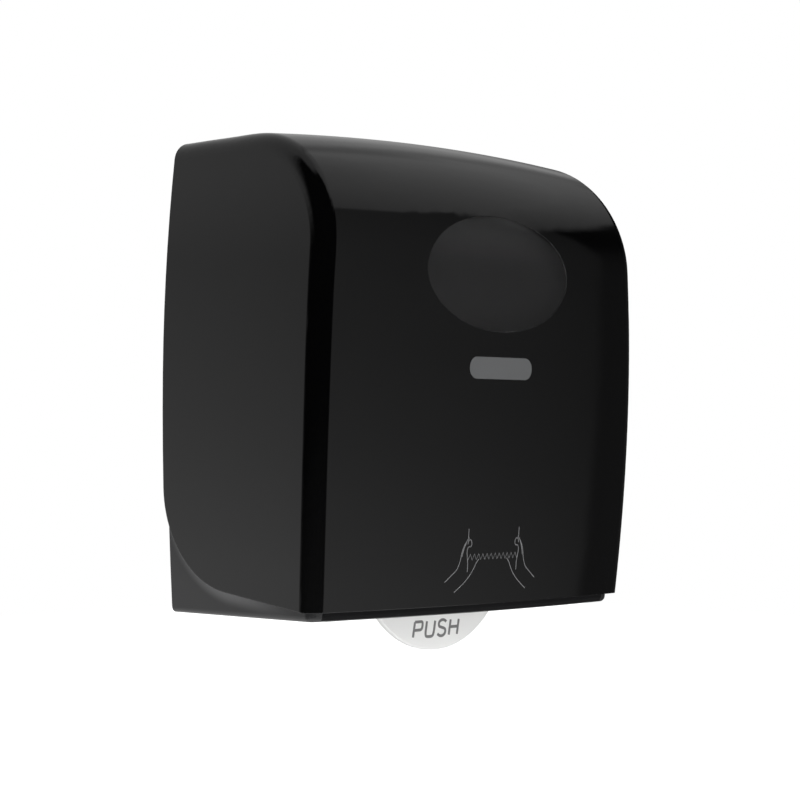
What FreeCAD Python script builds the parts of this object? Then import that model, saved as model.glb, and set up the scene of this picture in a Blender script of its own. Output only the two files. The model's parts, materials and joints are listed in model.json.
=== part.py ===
import FreeCAD, Part
import math
import os

# Lever paper towel dispenser, in millimetres.
# X runs across the front, -Y is the front and Y = 0 the wall, Z is up.
# The origin is the centre of the wall screws' pattern on the back face, and
# every height h below is counted from the underside of the housing.

V = FreeCAD.Vector

# Outer form of the closed body
height = 331.0
front_depth = 173.0
front_bulge = 13.1
full_width = 321.2
side_draft_share = 0.008
bottom_draw = 5.0
top_draw = 12.0
widest_height = 152.1
top_roll_r = 96.3
front_crown = 14.25
top_crown = 6.8
front_edge_r = 12.5
rear_edge_r = 14.0

# Cover
cover_wall = 2.5
cover_rear_gap = 2.5
cover_lip_height = 6.5
cover_lip_depth = 20.0
cover_edge_slope = 7.6
cover_edge_r = 70.0
window_width = 140.0
window_height = 80.0
window_centre_drop = 98.0
window_gap = 0.1
plate_width = 62.0
plate_height = 15.0
plate_corner_r = 7.0
plate_centre_drop = 65.0
plate_thickness = 0.4
plate_bond = 0.05

# Housing behind the cover
housing_gap = 3.8
housing_front_set = 5.0
housing_wall = 2.5
back_wall = 3.0
housing_corner_r = 4.0
housing_lap = 5.0
rim_depth = 30.0
rib_width = 2.5
rib_depth = 2.5
rib_spacing = 60.0
rib_margin = 22.0

# Wall screws, 254 by 203.2 apart
screw_side_margin = 33.6
screw_end_margin = 63.9
screw_hole_r = 3.0
screw_boss_r = 8.0
screw_boss_depth = 3.0

# Opening in the floor for the towel and the lever
mouth_side_margin = 6.0
mouth_front_margin = 15.9
mouth_depth = 66.0
mouth_corner_r = 8.0

# Hinge of the cover
hinge_depth = 38.0
hinge_height = 38.0
hinge_pin_r = 3.0
hinge_pin_length = 12.0
hinge_boss_r = 6.0
hinge_slot_r = 7.5
hinge_lug_thickness = 4.0
hinge_lug_depth = 20.0
hinge_lug_top = 9.0
hinge_boss_length = 9.1

# Clearances
running_gap = 0.05
seat_gap = 0.3
hole_gap = 0.1
overrun = 20.0

# Lock in the top of the cover
lock_depth = 30.0
lock_head_r = 9.0
lock_flange_r = 12.0
lock_flange_thickness = 2.7
lock_length = 14.0
lock_plug_r = 6.0
lock_plug_below = 2.0
lock_plug_recess = 0.3
key_slot_width = 1.4
key_slot_length = 7.0
key_slot_depth = 5.0
cam_arm_reach = 17.5
cam_arm_width = 8.0
cam_arm_thickness = 2.0
cam_hub_r = 7.0
cam_tab_width = 6.0
cam_tab_depth = 3.5
cam_tab_drop = 4.0
keeper_gap = 0.8
keeper_wall = 2.5
keeper_wall_width = 7.0
keeper_shelf_width = 18.0
keeper_shelf_drop = 6.5
rim_notch_margin = 2.0

# Paper roll
roll_side_gap = 10.5
roll_rear_gap = 11.0
roll_front_gap = 9.5
roll_drum_gap = 14.0
roll_roof_gap = 30.0
core_wall = 1.2
core_bore_r = 17.4

# Hubs and arms that carry the roll
hub_flange_r = 24.0
hub_flange_thickness = 2.4
hub_plug_r = 16.5
hub_tip_r = 13.0
hub_plug_length = 9.0
hub_pin_r = 5.0
arm_thickness = 4.0
arm_nose_r = 14.0
arm_root_height = 34.0
arm_foot_width = 10.0
arm_foot_thickness = 4.0
knuckle_r = 5.0
knuckle_pin_r = 2.5
knuckle_depth = 12.0
knuckle_offset = 7.5
knuckle_height = 30.0
bracket_lug_height = 7.0
bracket_side = 6.0
bracket_plate_width = 22.0
bracket_plate_thickness = 3.0
bracket_screw_offset = 9.0

# Feed module between its two side plates
module_side_room = 48.6
plate_wall = 3.0
plate_above_drum = 13.0
plate_front_set = 21.9
plate_slope_depth = 72.0
plate_front_rise = 20.0
plate_corner = 8.0
foot_width = 12.0
foot_height = 24.0
foot_low = 10.0
foot_top_drop = 38.0
foot_thickness = 3.0
foot_screw_r = 2.0
foot_screw_head_r = 4.0
foot_screw_head = 2.4
bridge_low = 96.0
bridge_height = 16.0
bridge_depth = 12.0
bridge_rear = 6.0
bridge_wall = 2.5
guide_thickness = 2.0
guide_low = 14.0
guide_rise = 12.0
guide_funnel = 4.0
guide_rib_drop = 12.0
guide_rib_count = 5

# Drum
drum_height = 92.0
drum_rear_gap = 37.0
drum_front_gap = 11.0
drum_wall = 2.5
drum_end_room = 10.0
drum_cap_thickness = 3.0
drum_shaft_r = 6.0
drum_rib_thickness = 2.0
drum_rib_end = 36.0
knife_slot_above = 5.0
knife_slot_below = 17.0
knife_slot_end = 5.0
band_width = 18.0
band_thickness = 0.8
band_end = 27.0
band_count = 4
bush_wall = 3.0
bush_flange_r = 12.0
bush_flange = 1.5

# Knife inside the drum
knife_pivot_lean = 36.25
knife_boss_gap = 1.8
knife_boss_r = 3.5
knife_pin_r = 2.0
knife_rest_lean = 67.8
knife_end = 8.0
blade_thickness = 0.8
blade_width = 11.0
blade_tooth = 3.0
blade_teeth = 47
carrier_thickness = 3.0
follower_gap = 4.0
follower_arm_thickness = 2.6
follower_lean = 27.0
follower_boss_r = 4.0
follower_roller_r = 2.5
cam_past_drum = 5.0
cam_bore_r = 18.0
cam_inner_wall = 3.0
cam_outer_wall = 3.5
cam_depth = 3.3
cam_floor = 1.0

# Pressure roller
press_r = 11.0
press_shaft_r = 3.0
press_lean = 50.0
press_sleeve_width = 20.0

# Push lever and its gears, whose module follows the distance from lever to drum
gear_module_share = 1.5 / 58.3
sector_teeth = 42
idler_teeth = 16
pinion_teeth = 18
lever_drum_gap = 10.3
pivot_lean = 22.2
gear_width = 6.0
gear_side_gap = 2.0
gear_backlash = 0.25
gear_addendum_share = 0.9
gear_dedendum_share = 1.2
gear_pressure_angle = 20.0
sector_above = 9.0
sector_below = 31.0
sector_hub_r = 7.0
idler_pin_r = 2.5
idler_pin_head_r = 4.5
idler_pin_head = 1.5
lever_shaft_r = 3.0
lever_side_gap = 2.6
lever_plate_set = 53.0
lever_plate_thickness = 4.0
lever_bar_top = 14.0
lever_bar_drop = 3.5
lever_paddle_width = 111.0
lever_paddle_drop = 24.9
lever_arm_thickness = 4.0
lever_arm_depth = 9.0
lever_boss_r = 7.0
lever_edge_r = 1.2
lever_rib_spacing = 44.0
lever_rib_thickness = 2.0
lever_rib_depth = 3.5
lever_rib_drop = 14.0

# Springs, crank and hand wheel
lever_spring_r = 5.0
lever_spring_wire = 1.0
lever_spring_pitch = 1.5
lever_spring_turns = 4
lever_spring_leg = 12.0
crank_throw = 16.0
crank_thickness = 4.0
crank_hub_r = 10.0
crank_pin_r = 2.5
crank_pin_length = 7.0
crank_side_gap = 0.5
index_spring_r = 3.0
index_spring_wire = 0.9
index_spring_pitch = 1.5
index_spring_end = 7.0
index_spring_bend = 2.5
post_depth = 30.0
post_height = 50.0
wheel_r = 22.0
wheel_width = 9.0
wheel_side_gap = 2.5
wheel_flutes = 18
wheel_flute_r = 2.2
wheel_shaft_stub = 1.0

# Sizes and places that follow from the values above
floor_z = -height / 2
bottom_depth = front_depth - front_bulge
fullest_height = height - top_roll_r
window_centre_height = height - window_centre_drop
plate_centre_height = window_centre_height - plate_centre_drop
screw_spacing_x = full_width - 2 * screw_side_margin
screw_spacing_z = height - 2 * screw_end_margin
housing_inset = cover_wall + housing_gap
hinge_y = -hinge_depth

module_inner_width = full_width - 2 * module_side_room
module_half = module_inner_width / 2
plate_outer = module_half + plate_wall
plate_front = bottom_depth - plate_front_set
plate_shoulder = plate_front - plate_slope_depth
mouth_width = module_inner_width - 2 * mouth_side_margin
mouth_front = bottom_depth - mouth_front_margin
mouth_rear = mouth_front - mouth_depth

drum_r = (plate_front - drum_front_gap - drum_rear_gap) / 2
drum_y = -(drum_rear_gap + drum_r)
drum_length = module_inner_width - 2 * drum_end_room
drum_half = drum_length / 2
drum_rib_spacing = drum_half - drum_rib_end
cap_outer = drum_half + drum_cap_thickness
knife_slot_length = drum_length - 2 * knife_slot_end
knife_length = drum_length - 2 * knife_end
band_spacing = (drum_length - 2 * band_end) / (band_count - 1)
cam_r = drum_r + cam_past_drum
plate_top = drum_height + drum_r + plate_above_drum
plate_front_top = drum_height + plate_front_rise
foot_high = plate_top - foot_top_drop
guide_high = drum_height + guide_rise

roll_width = module_inner_width - 2 * roll_side_gap
roll_half = roll_width / 2
roll_low = drum_height + drum_r + roll_drum_gap
roll_room_deep = front_depth - cover_wall - roll_front_gap - roll_rear_gap
roll_room_tall = height - roll_roof_gap - roll_low
roll_r = min(roll_room_deep, roll_room_tall) / 2
roll_y = -(roll_rear_gap + roll_r)
roll_height = roll_low + roll_r

lever_width = mouth_width - 2 * lever_side_gap
lever_plate_depth = bottom_depth - lever_plate_set
pivot_spread = drum_r + lever_drum_gap + lever_shaft_r
gear_module = pivot_spread * gear_module_share
pivot_y = drum_y - pivot_spread * math.sin(math.radians(pivot_lean))
pivot_height = drum_height - pivot_spread * math.cos(math.radians(pivot_lean))


def up(h):
    """Z of a height above the underside of the housing."""
    return floor_z + h


def block(x0, x1, y0, y1, h0, h1):
    return Part.makeBox(x1 - x0, y1 - y0, h1 - h0, V(x0, y0, up(h0)))


def rod(x0, x1, y, h, radius):
    """A cylinder along X."""
    return Part.makeCylinder(radius, x1 - x0, V(x0, y, up(h)), V(1, 0, 0))


def sleeve(x0, x1, y, h, outer_r, bore_r):
    """A tube along X."""
    return rod(x0, x1, y, h, outer_r).cut(rod(x0 - overrun, x1 + overrun, y, h, bore_r))


def post(x, y, h0, h1, radius):
    """A cylinder along Z."""
    return Part.makeCylinder(radius, h1 - h0, V(x, y, up(h0)))


def stud(x, h, y0, y1, radius):
    """A cylinder along Y."""
    return Part.makeCylinder(radius, y1 - y0, V(x, y0, up(h)), V(0, 1, 0))


def slab(points, x0, x1):
    """A plate along X from an outline of (y, h) points."""
    ring = [V(x0, y, up(h)) for y, h in points]
    face = Part.Face(Part.makePolygon(ring + ring[:1]))
    return face.extrude(V(x1 - x0, 0, 0))


def rounded(shape, radius, wanted):
    """Rounds the edges of a shape that the test picks."""
    return shape.makeFillet(radius, [edge for edge in shape.Edges if wanted(edge)])


def is_along_x(edge):
    line = edge.lastVertex().Point - edge.firstVertex().Point
    return abs(line.x) > 0.99 * line.Length


def fuse(shapes):
    return shapes[0].multiFuse(shapes[1:]).removeSplitter()


def mirrored(shape):
    return shape.mirror(V(0, 0, 0), V(1, 0, 0))


def polar(y, h, radius, degrees):
    """The (y, h) point at an angle that turns from +Y towards +Z."""
    angle = math.radians(degrees)
    return y + radius * math.cos(angle), h + radius * math.sin(angle)


def save(node, shape):
    solids = shape.Solids
    whole = solids[0] if len(solids) == 1 else Part.makeCompound(solids)
    if not whole.isValid():
        print("not valid:", node)
    whole.exportStep(os.path.join("parts", node + ".step"))
    print(node, len(solids), "solid(s)", round(sum(s.Volume for s in solids) / 1000, 2), "cm3")


# Outer form: a crowned skin over the front and top, within the outline seen from the front

def radius_of_rise(rise, run):
    """Radius of the arc that leaves a tangent by run over the length rise."""
    return rise * rise / (2 * run) + run / 2


front_r = radius_of_rise(fullest_height, front_bulge)
lower_side_r = radius_of_rise(widest_height, bottom_draw)
upper_side_r = radius_of_rise(height - widest_height, top_draw)


def half_width(h, y=0):
    """Half the outer width at a height, a little less towards the front."""
    away = h - widest_height
    side_r = lower_side_r if away < 0 else upper_side_r
    return full_width / 2 - side_r + math.sqrt(side_r * side_r - away * away) + side_draft_share * y


def profile(inset):
    """The centre line's points with their normals, from under the front lip to behind the top."""
    front_steps, roll_steps, top_steps = 8, 8, 5
    stations = []
    for i in range(front_steps):
        h = -overrun + (fullest_height + overrun) * i / front_steps
        rise = (fullest_height - h) / front_r
        lean = math.sqrt(1 - rise * rise)
        stations.append((-(front_depth - front_r * (1 - lean)), h, -lean, -rise))
    centre_y, centre_h = top_roll_r - front_depth, height - top_roll_r
    for i in range(roll_steps + 1):
        turn = math.pi / 2 * i / roll_steps
        out, rise = -math.cos(turn), math.sin(turn)
        stations.append((centre_y + top_roll_r * out, centre_h + top_roll_r * rise, out, rise))
    for i in range(1, top_steps + 1):
        stations.append((centre_y + (overrun - centre_y) * i / top_steps, height, 0, 1))
    return [(y - inset * ny, h - inset * nh, ny, nh) for y, h, ny, nh in stations]


def skin(inset):
    """The crowned face over the front and the top."""
    steps = 8
    rows = []
    for y, h, ny, nh in profile(inset):
        crown = front_crown + (top_crown - front_crown) * max(nh, 0)
        row = []
        for i in range(steps + 1):
            x = (full_width / 2 + overrun) * (2 * i / steps - 1)
            drop = crown * (2 * x / full_width) ** 2
            row.append(V(x, y - ny * drop, up(h - nh * drop)))
        rows.append(row)
    surface = Part.BSplineSurface()
    surface.interpolate(rows)
    return surface.toShape()


def outline(inset, bottom, y):
    """The front view's outline at a depth, from a bottom height to above the top."""
    top = height + overrun
    upper_steps = 6
    heights = [bottom, (bottom + widest_height) / 2, widest_height]
    heights += [widest_height + (top - widest_height) * i / upper_steps for i in range(1, upper_steps + 1)]
    edges = []
    for side in (1, -1):
        curve = Part.BSplineCurve()
        curve.interpolate([V(side * (half_width(h, y) - inset), y, up(h)) for h in heights])
        edges.append(curve.toShape())
    for h in (bottom, top):
        half = half_width(h, y) - inset
        edges.append(Part.makeLine(V(-half, y, up(h)), V(half, y, up(h))))
    return Part.Wire(Part.__sortEdges__(edges))


def envelope(inset=0, front_inset=None, bottom=0, rear=0, corner_r=0):
    """The closed body's form, set in from the outer faces."""
    if front_inset is None:
        front_inset = inset
    behind_skin = skin(front_inset).extrude(V(0, 2 * height, -2 * height))
    ends = [outline(inset, bottom, y) for y in (rear, -2 * front_depth)]
    prism = Part.makeLoft(ends, True, True)
    body = behind_skin.common(prism).Solids[0]
    for side in (-1, 1):
        edge = next(e for e in body.Edges if is_front_edge(e, side))
        start_low = edge.valueAt(edge.FirstParameter).z < edge.valueAt(edge.LastParameter).z
        radii = [front_edge_r - inset, rear_edge_r - inset]
        if not start_low:
            radii.reverse()
        body = body.makeFillet(radii[0], radii[1], [edge])
    if corner_r:
        body = rounded(body, corner_r, lambda edge: is_bottom_rim(edge, bottom, rear))
    return body


def is_bottom_rim(edge, bottom, rear):
    """An edge of the bottom face, other than the one at the wall."""
    points = edge.discretize(3)
    level = all(abs(p.z - up(bottom)) < hole_gap for p in points)
    return level and any(abs(p.y - rear) > hole_gap for p in points)


def is_front_edge(edge, side):
    """The long edge between the skin and one side."""
    box = edge.BoundBox
    tall = box.ZMax - box.ZMin > height / 2
    deep = box.YMax - box.YMin > front_depth / 2
    return tall and deep and side * edge.CenterOfMass.x > 0


def edge_height(y):
    """Height of the slanting lower edge of the cover's side at a depth behind its level lip."""
    behind_lip = y + bottom_depth - cover_lip_depth
    return cover_lip_height + behind_lip * math.tan(math.radians(cover_edge_slope))


def below_cover_edge(lift, rear_y):
    """Everything below the cover's lower edge, raised by lift, and behind rear_y."""
    slope = math.radians(cover_edge_slope)
    arc_y = -cover_rear_gap - cover_edge_r
    arc_h = edge_height(arc_y) + cover_edge_r / math.cos(slope) + lift
    start = polar(arc_y, arc_h, cover_edge_r, cover_edge_slope - 90)
    middle = polar(arc_y, arc_h, cover_edge_r, (cover_edge_slope - 90) / 2)
    far_y, far_h = -2 * front_depth, height + overrun
    lip_y, lip_h = cover_lip_depth - bottom_depth, cover_lip_height + lift
    x = -full_width

    def at(y, h):
        return V(x, y, up(h))

    edges = [
        Part.makeLine(at(far_y, lip_h), at(lip_y, lip_h)),
        Part.makeLine(at(lip_y, lip_h), at(*start)),
        Part.Arc(at(*start), at(*middle), at(-cover_rear_gap, arc_h)).toShape(),
        Part.makeLine(at(-cover_rear_gap, arc_h), at(rear_y, far_h)),
        Part.makeLine(at(rear_y, far_h), at(overrun, far_h)),
        Part.makeLine(at(overrun, far_h), at(overrun, far_y)),
        Part.makeLine(at(overrun, far_y), at(far_y, far_y)),
        Part.makeLine(at(far_y, far_y), at(far_y, lip_h)),
    ]
    return Part.Face(Part.Wire(edges)).extrude(V(2 * full_width, 0, 0))


def front_prism(wire_face):
    """A prism towards the front from a face in the wall plane."""
    return wire_face.extrude(V(0, -2 * front_depth, 0))


def ellipse_prism(width, tall, h):
    across = Part.Ellipse(V(0, 0, up(h)), width / 2, tall / 2)
    across.Axis = V(0, -1, 0)
    across.XAxis = V(1, 0, 0)
    return front_prism(Part.Face(Part.Wire(across.toShape())))


# Cover, with its window and bare plate

def hinge_span():
    """Inner and outer X of the cover's hinge boss."""
    inside = half_width(hinge_height, hinge_y) - cover_wall
    return inside - hinge_boss_length, inside + cover_wall / 2


def make_cover():
    outer = envelope()
    inner = envelope(cover_wall, bottom=-overrun, rear=overrun)
    shell = outer.cut(inner).cut(below_cover_edge(0, -cover_rear_gap))
    boss_in, boss_out = hinge_span()
    bosses = []
    for side in (-1, 1):
        ends = sorted((side * boss_in, side * boss_out))
        bosses.append(rod(ends[0], ends[1], hinge_y, hinge_height, hinge_boss_r))
    shell = fuse([shell] + bosses)
    bore_end = boss_in + hinge_pin_length - hinge_lug_thickness + seat_gap
    for side in (-1, 1):
        ends = sorted((side * (boss_in - overrun), side * bore_end))
        shell = shell.cut(rod(ends[0], ends[1], hinge_y, hinge_height, hinge_pin_r + running_gap))
    shell = shell.cut(ellipse_prism(window_width, window_height, window_centre_height))
    shell = shell.cut(post(0, -lock_depth, height - overrun, height + overrun, lock_head_r + hole_gap))
    save("cover_shell", shell)
    lens_zone = ellipse_prism(window_width - 2 * window_gap, window_height - 2 * window_gap,
                              window_centre_height)
    save("window", outer.cut(inner).common(lens_zone).common(
        block(-full_width, full_width, -2 * front_depth, -front_depth / 2, 0, height)))


def make_plate():
    low = plate_centre_height - plate_height / 2
    zone = block(-plate_width / 2, plate_width / 2, -2 * front_depth, -front_depth / 2,
                 low, low + plate_height)
    zone = rounded(zone, plate_corner_r, lambda e: e.BoundBox.YMax - e.BoundBox.YMin > front_depth / 2)
    raised = skin(-plate_thickness).extrude(V(0, 2 * height, -2 * height))
    below = skin(-plate_bond).extrude(V(0, 2 * height, -2 * height))
    save("name_plate", raised.common(zone).cut(below))


# Housing: back wall, floor, low side walls and the hinge lugs

def make_housing():
    outer = envelope(housing_inset, cover_wall + housing_front_set, corner_r=housing_corner_r)
    cavity = envelope(housing_inset + housing_wall, cover_wall + housing_front_set + housing_wall,
                      bottom=housing_wall, rear=-back_wall)
    tray = outer.cut(cavity)
    keep = fuse([below_cover_edge(housing_lap, -cover_rear_gap),
                 block(-full_width, full_width, -rim_depth, overrun, -overrun, height + overrun)])
    tray = tray.common(keep)
    additions = []
    for side in (-1, 1):
        for level in (-1, 1):
            x = side * screw_spacing_x / 2
            h = (height + level * screw_spacing_z) / 2
            additions.append(stud(x, h, -back_wall - screw_boss_depth, -back_wall / 2, screw_boss_r))
        boss_in, _ = hinge_span()
        ends = sorted((side * (boss_in - seat_gap), side * (boss_in - seat_gap - hinge_lug_thickness)))
        additions.append(block(ends[0], ends[1], hinge_y - hinge_lug_depth / 2,
                               hinge_y + hinge_lug_depth / 2, housing_wall / 2,
                               hinge_height + hinge_lug_top))
    for i in (-1, 0, 1):
        x = i * rib_spacing
        additions.append(block(x - rib_width / 2, x + rib_width / 2, -back_wall - rib_depth, -back_wall / 2,
                               plate_top, height - rib_margin - keeper_shelf_drop - lock_length))
    tray = fuse([tray] + additions)
    mouth = block(-mouth_width / 2, mouth_width / 2, -mouth_front, -mouth_rear, -overrun, overrun / 2)
    mouth = rounded(mouth, mouth_corner_r, lambda e: e.BoundBox.ZMax - e.BoundBox.ZMin > overrun / 2)
    tray = tray.cut(mouth)
    notch = lock_flange_r + rim_notch_margin
    tray = tray.cut(block(-notch, notch, -lock_depth - notch, -lock_depth + notch,
                          height - lock_length, height))
    for side in (-1, 1):
        for level in (-1, 1):
            x = side * screw_spacing_x / 2
            h = (height + level * screw_spacing_z) / 2
            tray = tray.cut(stud(x, h, -overrun, overrun, screw_hole_r))
        boss_in, _ = hinge_span()
        ends = sorted((side * (boss_in - overrun), side * (boss_in + running_gap)))
        tray = tray.cut(rod(ends[0], ends[1], hinge_y, hinge_height, hinge_pin_r + running_gap))
        ends = sorted((side * (boss_in - seat_gap), side * full_width))
        tray = tray.cut(rod(ends[0], ends[1], hinge_y, hinge_height, hinge_slot_r))
    for x, h in screw_places():
        tray = tray.cut(stud(x, h, -overrun, overrun, foot_screw_r + running_gap))
    save("rear_housing", tray)
    boss_in, _ = hinge_span()
    start = boss_in - seat_gap - hinge_lug_thickness
    pin = rod(start, start + hinge_pin_length, hinge_y, hinge_height, hinge_pin_r)
    save("hinge_pin_right", pin)
    save("hinge_pin_left", mirrored(pin))


def screw_places():
    """Places (x, h) of the screws that hold the module and the roll arms."""
    places = []
    for side in (-1, 1):
        for low in (foot_low, foot_high):
            places.append((side * (plate_outer + foot_width / 2), low + foot_height / 2))
    for level in (-1, 1):
        h = roll_height + level * arm_root_height / 4
        places.append((-(arm_inner() + arm_thickness + arm_foot_width / 2), h))
        places.append((arm_inner() + knuckle_offset - bracket_screw_offset, h))
    return places


def make_screws():
    screws = []
    for x, h in screw_places():
        seat = arm_foot_thickness if h > plate_top and x < 0 else foot_thickness
        head = -back_wall - seat
        screws.append(fuse([stud(x, h, head - foot_screw_head, head, foot_screw_head_r),
                            stud(x, h, head - foot_screw_head / 2, -seat_gap, foot_screw_r)]))
    save("module_screws", Part.makeCompound(screws))


# Lock barrel, plug and cam in the top, and the keeper on the housing

def make_lock():
    inner_roof = height - cover_wall
    barrel = fuse([post(0, -lock_depth, height - lock_length, height, lock_head_r),
                   post(0, -lock_depth, inner_roof - seat_gap - lock_flange_thickness,
                        inner_roof - seat_gap, lock_flange_r)])
    barrel = barrel.cut(post(0, -lock_depth, 0, height + overrun, lock_plug_r + running_gap))
    save("lock_barrel", barrel)
    plug_low = height - lock_length - lock_plug_below
    plug_top = height - lock_plug_recess
    plug = post(0, -lock_depth, plug_low, plug_top, lock_plug_r)
    plug = plug.cut(block(-key_slot_width / 2, key_slot_width / 2, -lock_depth - key_slot_length / 2,
                          -lock_depth + key_slot_length / 2, plug_top - key_slot_depth, height))
    save("lock_plug", plug)
    arm_top = plug_low
    arm_low = arm_top - cam_arm_thickness
    arm = fuse([post(0, -lock_depth, arm_low, arm_top, cam_hub_r),
                block(0, cam_arm_reach, -lock_depth - cam_arm_width / 2, -lock_depth + cam_arm_width / 2,
                      arm_low, arm_top),
                block(cam_arm_reach - cam_tab_depth, cam_arm_reach, -lock_depth - cam_tab_width / 2,
                      -lock_depth + cam_tab_width / 2, arm_low - cam_tab_drop, arm_top)])
    save("lock_cam", arm)
    wall_rear = -lock_depth + cam_arm_reach - cam_tab_depth - keeper_gap
    wall_top = arm_low - keeper_gap
    shelf_low = wall_top - keeper_shelf_drop - keeper_wall
    shelf = block(-keeper_shelf_width / 2, keeper_shelf_width / 2, wall_rear - keeper_wall, -back_wall,
                  shelf_low, shelf_low + keeper_wall)
    hook = block(-keeper_wall_width / 2, keeper_wall_width / 2, wall_rear - keeper_wall, wall_rear,
                 shelf_low, wall_top)
    root = block(-keeper_shelf_width / 2, keeper_shelf_width / 2, -back_wall - keeper_wall, -back_wall,
                 shelf_low - keeper_shelf_drop, wall_top)
    save("latch_keeper", fuse([shelf, hook, root]))


# Paper roll, its hubs and the two arms

def arm_inner():
    """Inner X of an arm plate."""
    return roll_half + seat_gap + hub_flange_thickness + seat_gap


def hub(side):
    face = roll_half + seat_gap
    flange = rod(face, face + hub_flange_thickness, roll_y, roll_height, hub_flange_r)
    plug = Part.makeCone(hub_tip_r, hub_plug_r, hub_plug_length,
                         V(face - hub_plug_length, roll_y, up(roll_height)), V(1, 0, 0))
    whole = fuse([flange, plug]).cut(rod(0, full_width, roll_y, roll_height, hub_pin_r + running_gap))
    return whole if side > 0 else mirrored(whole)


def arm_plate(root_y):
    """The right arm's plate with its round nose and hub pin."""
    inner = arm_inner()
    nose_y, nose_h = roll_y, roll_height
    half_root = arm_root_height / 2
    web = slab([(root_y, nose_h - half_root), (root_y, nose_h + half_root),
                (nose_y, nose_h + arm_nose_r), (nose_y, nose_h - arm_nose_r)], inner, inner + arm_thickness)
    nose = rod(inner, inner + arm_thickness, nose_y, nose_h, arm_nose_r)
    face = roll_half + seat_gap
    pin = rod(face - hub_plug_length, inner + arm_thickness / 2, nose_y, nose_h, hub_pin_r)
    return [web, nose, pin]


def make_roll():
    save("paper_roll", sleeve(-roll_half, roll_half, roll_y, roll_height, roll_r,
                              core_bore_r + core_wall + running_gap))
    save("roll_core", sleeve(-roll_half, roll_half, roll_y, roll_height, core_bore_r + core_wall,
                             core_bore_r))
    save("right_hub", hub(1))
    save("left_hub", hub(-1))
    inner = arm_inner()
    outer = inner + arm_thickness
    half_root = arm_root_height / 2
    foot = block(inner, outer + arm_foot_width, -back_wall - arm_foot_thickness, -back_wall,
                 roll_height - half_root, roll_height + half_root)
    fixed = mirrored(fuse(arm_plate(-back_wall - arm_foot_thickness / 2) + [foot]))
    for x, h in screw_places():
        fixed = fixed.cut(stud(x, h, -overrun, overrun, foot_screw_r + running_gap))
    save("left_roll_arm", fixed)
    make_sprung_arm()


def make_sprung_arm():
    """The right arm swings outwards on an upright pin in its bracket."""
    inner = arm_inner()
    pin_x, pin_y = inner + knuckle_offset, -knuckle_depth
    low, high = roll_height - knuckle_height / 2, roll_height + knuckle_height / 2
    web_front = pin_y - knuckle_r
    knuckle = post(pin_x, pin_y, low, high, knuckle_r)
    bridge = block(inner, pin_x, web_front, pin_y, low, high)
    arm = fuse(arm_plate(web_front + knuckle_r / 2) + [knuckle, bridge])
    arm = arm.common(block(-full_width, full_width, -2 * front_depth, 0, low, high).fuse(
        block(-full_width, full_width, -2 * front_depth, web_front, 0, height)))
    arm = arm.cut(post(pin_x, pin_y, 0, height, knuckle_pin_r + running_gap))
    save("right_roll_arm", arm)
    lug_low = low - seat_gap - bracket_lug_height
    lug_high = high + seat_gap + bracket_lug_height
    side = bracket_side
    lugs = []
    for h0, h1 in ((lug_low, low - seat_gap), (high + seat_gap, lug_high)):
        lugs.append(post(pin_x, pin_y, h0, h1, knuckle_r))
        lugs.append(block(pin_x - knuckle_r, pin_x + knuckle_r, pin_y, -back_wall, h0, h1))
    plate = block(pin_x + side - bracket_plate_width, pin_x + side, -back_wall - bracket_plate_thickness,
                  -back_wall, lug_low, lug_high)
    bracket = fuse(lugs + [plate]).cut(post(pin_x, pin_y, 0, height, knuckle_pin_r + running_gap))
    for x, h in screw_places():
        bracket = bracket.cut(stud(x, h, -overrun, overrun, foot_screw_r + running_gap))
    save("arm_bracket", bracket)
    save("arm_pin", post(pin_x, pin_y, lug_low, lug_high, knuckle_pin_r))


# Feed module: side plates, bridge, guide and bushes

def press_place():
    """The pressure roller's axis, up and behind the drum."""
    return polar(drum_y, drum_height, drum_r + press_r + seat_gap, press_lean)


def idler_place():
    """The idler's axis, where it meshes with the sector and the pinion."""
    to_sector = gear_module * (sector_teeth + idler_teeth) / 2
    to_pinion = gear_module * (idler_teeth + pinion_teeth) / 2
    along = (to_sector ** 2 - to_pinion ** 2 + pivot_spread ** 2) / (2 * pivot_spread)
    aside = math.sqrt(to_sector ** 2 - along ** 2)
    lean = math.radians(pivot_lean)
    y = pivot_y + along * math.sin(lean) + aside * math.cos(lean)
    h = pivot_height + along * math.cos(lean) - aside * math.sin(lean)
    return y, h


def make_side_plate(node, side):
    rear, low = -back_wall, housing_wall
    points = [(rear, low), (rear, plate_top), (-plate_shoulder, plate_top), (-plate_front, plate_front_top),
              (-plate_front, low)]
    plate = slab(points, module_half, plate_outer)
    plate = rounded(plate, plate_corner, lambda e: is_along_x(e) and e.CenterOfMass.y < rear - plate_corner
                    and e.CenterOfMass.z > up(low) + plate_corner)
    feet = [block(module_half, plate_outer + foot_width, rear - foot_thickness, rear, h, h + foot_height)
            for h in (foot_low, foot_high)]
    plate = fuse([plate] + feet)
    if side < 0:
        plate = mirrored(plate)
        plate = fuse([plate, rod(-plate_outer - crank_reach(), -module_half - plate_wall / 2, -post_depth,
                                 post_height, crank_pin_r)])
    for x, h in screw_places():
        plate = plate.cut(stud(x, h, -overrun, overrun, foot_screw_r + running_gap))
    holes = [(drum_y, drum_height, drum_shaft_r + bush_wall + running_gap),
             (pivot_y, pivot_height, lever_shaft_r + running_gap),
             press_place() + (press_shaft_r + running_gap,)]
    if side > 0:
        holes.append(idler_place() + (idler_pin_r + running_gap,))
    for y, h, radius in holes:
        plate = plate.cut(rod(-full_width, full_width, y, h, radius))
    save(node, plate)


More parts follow.
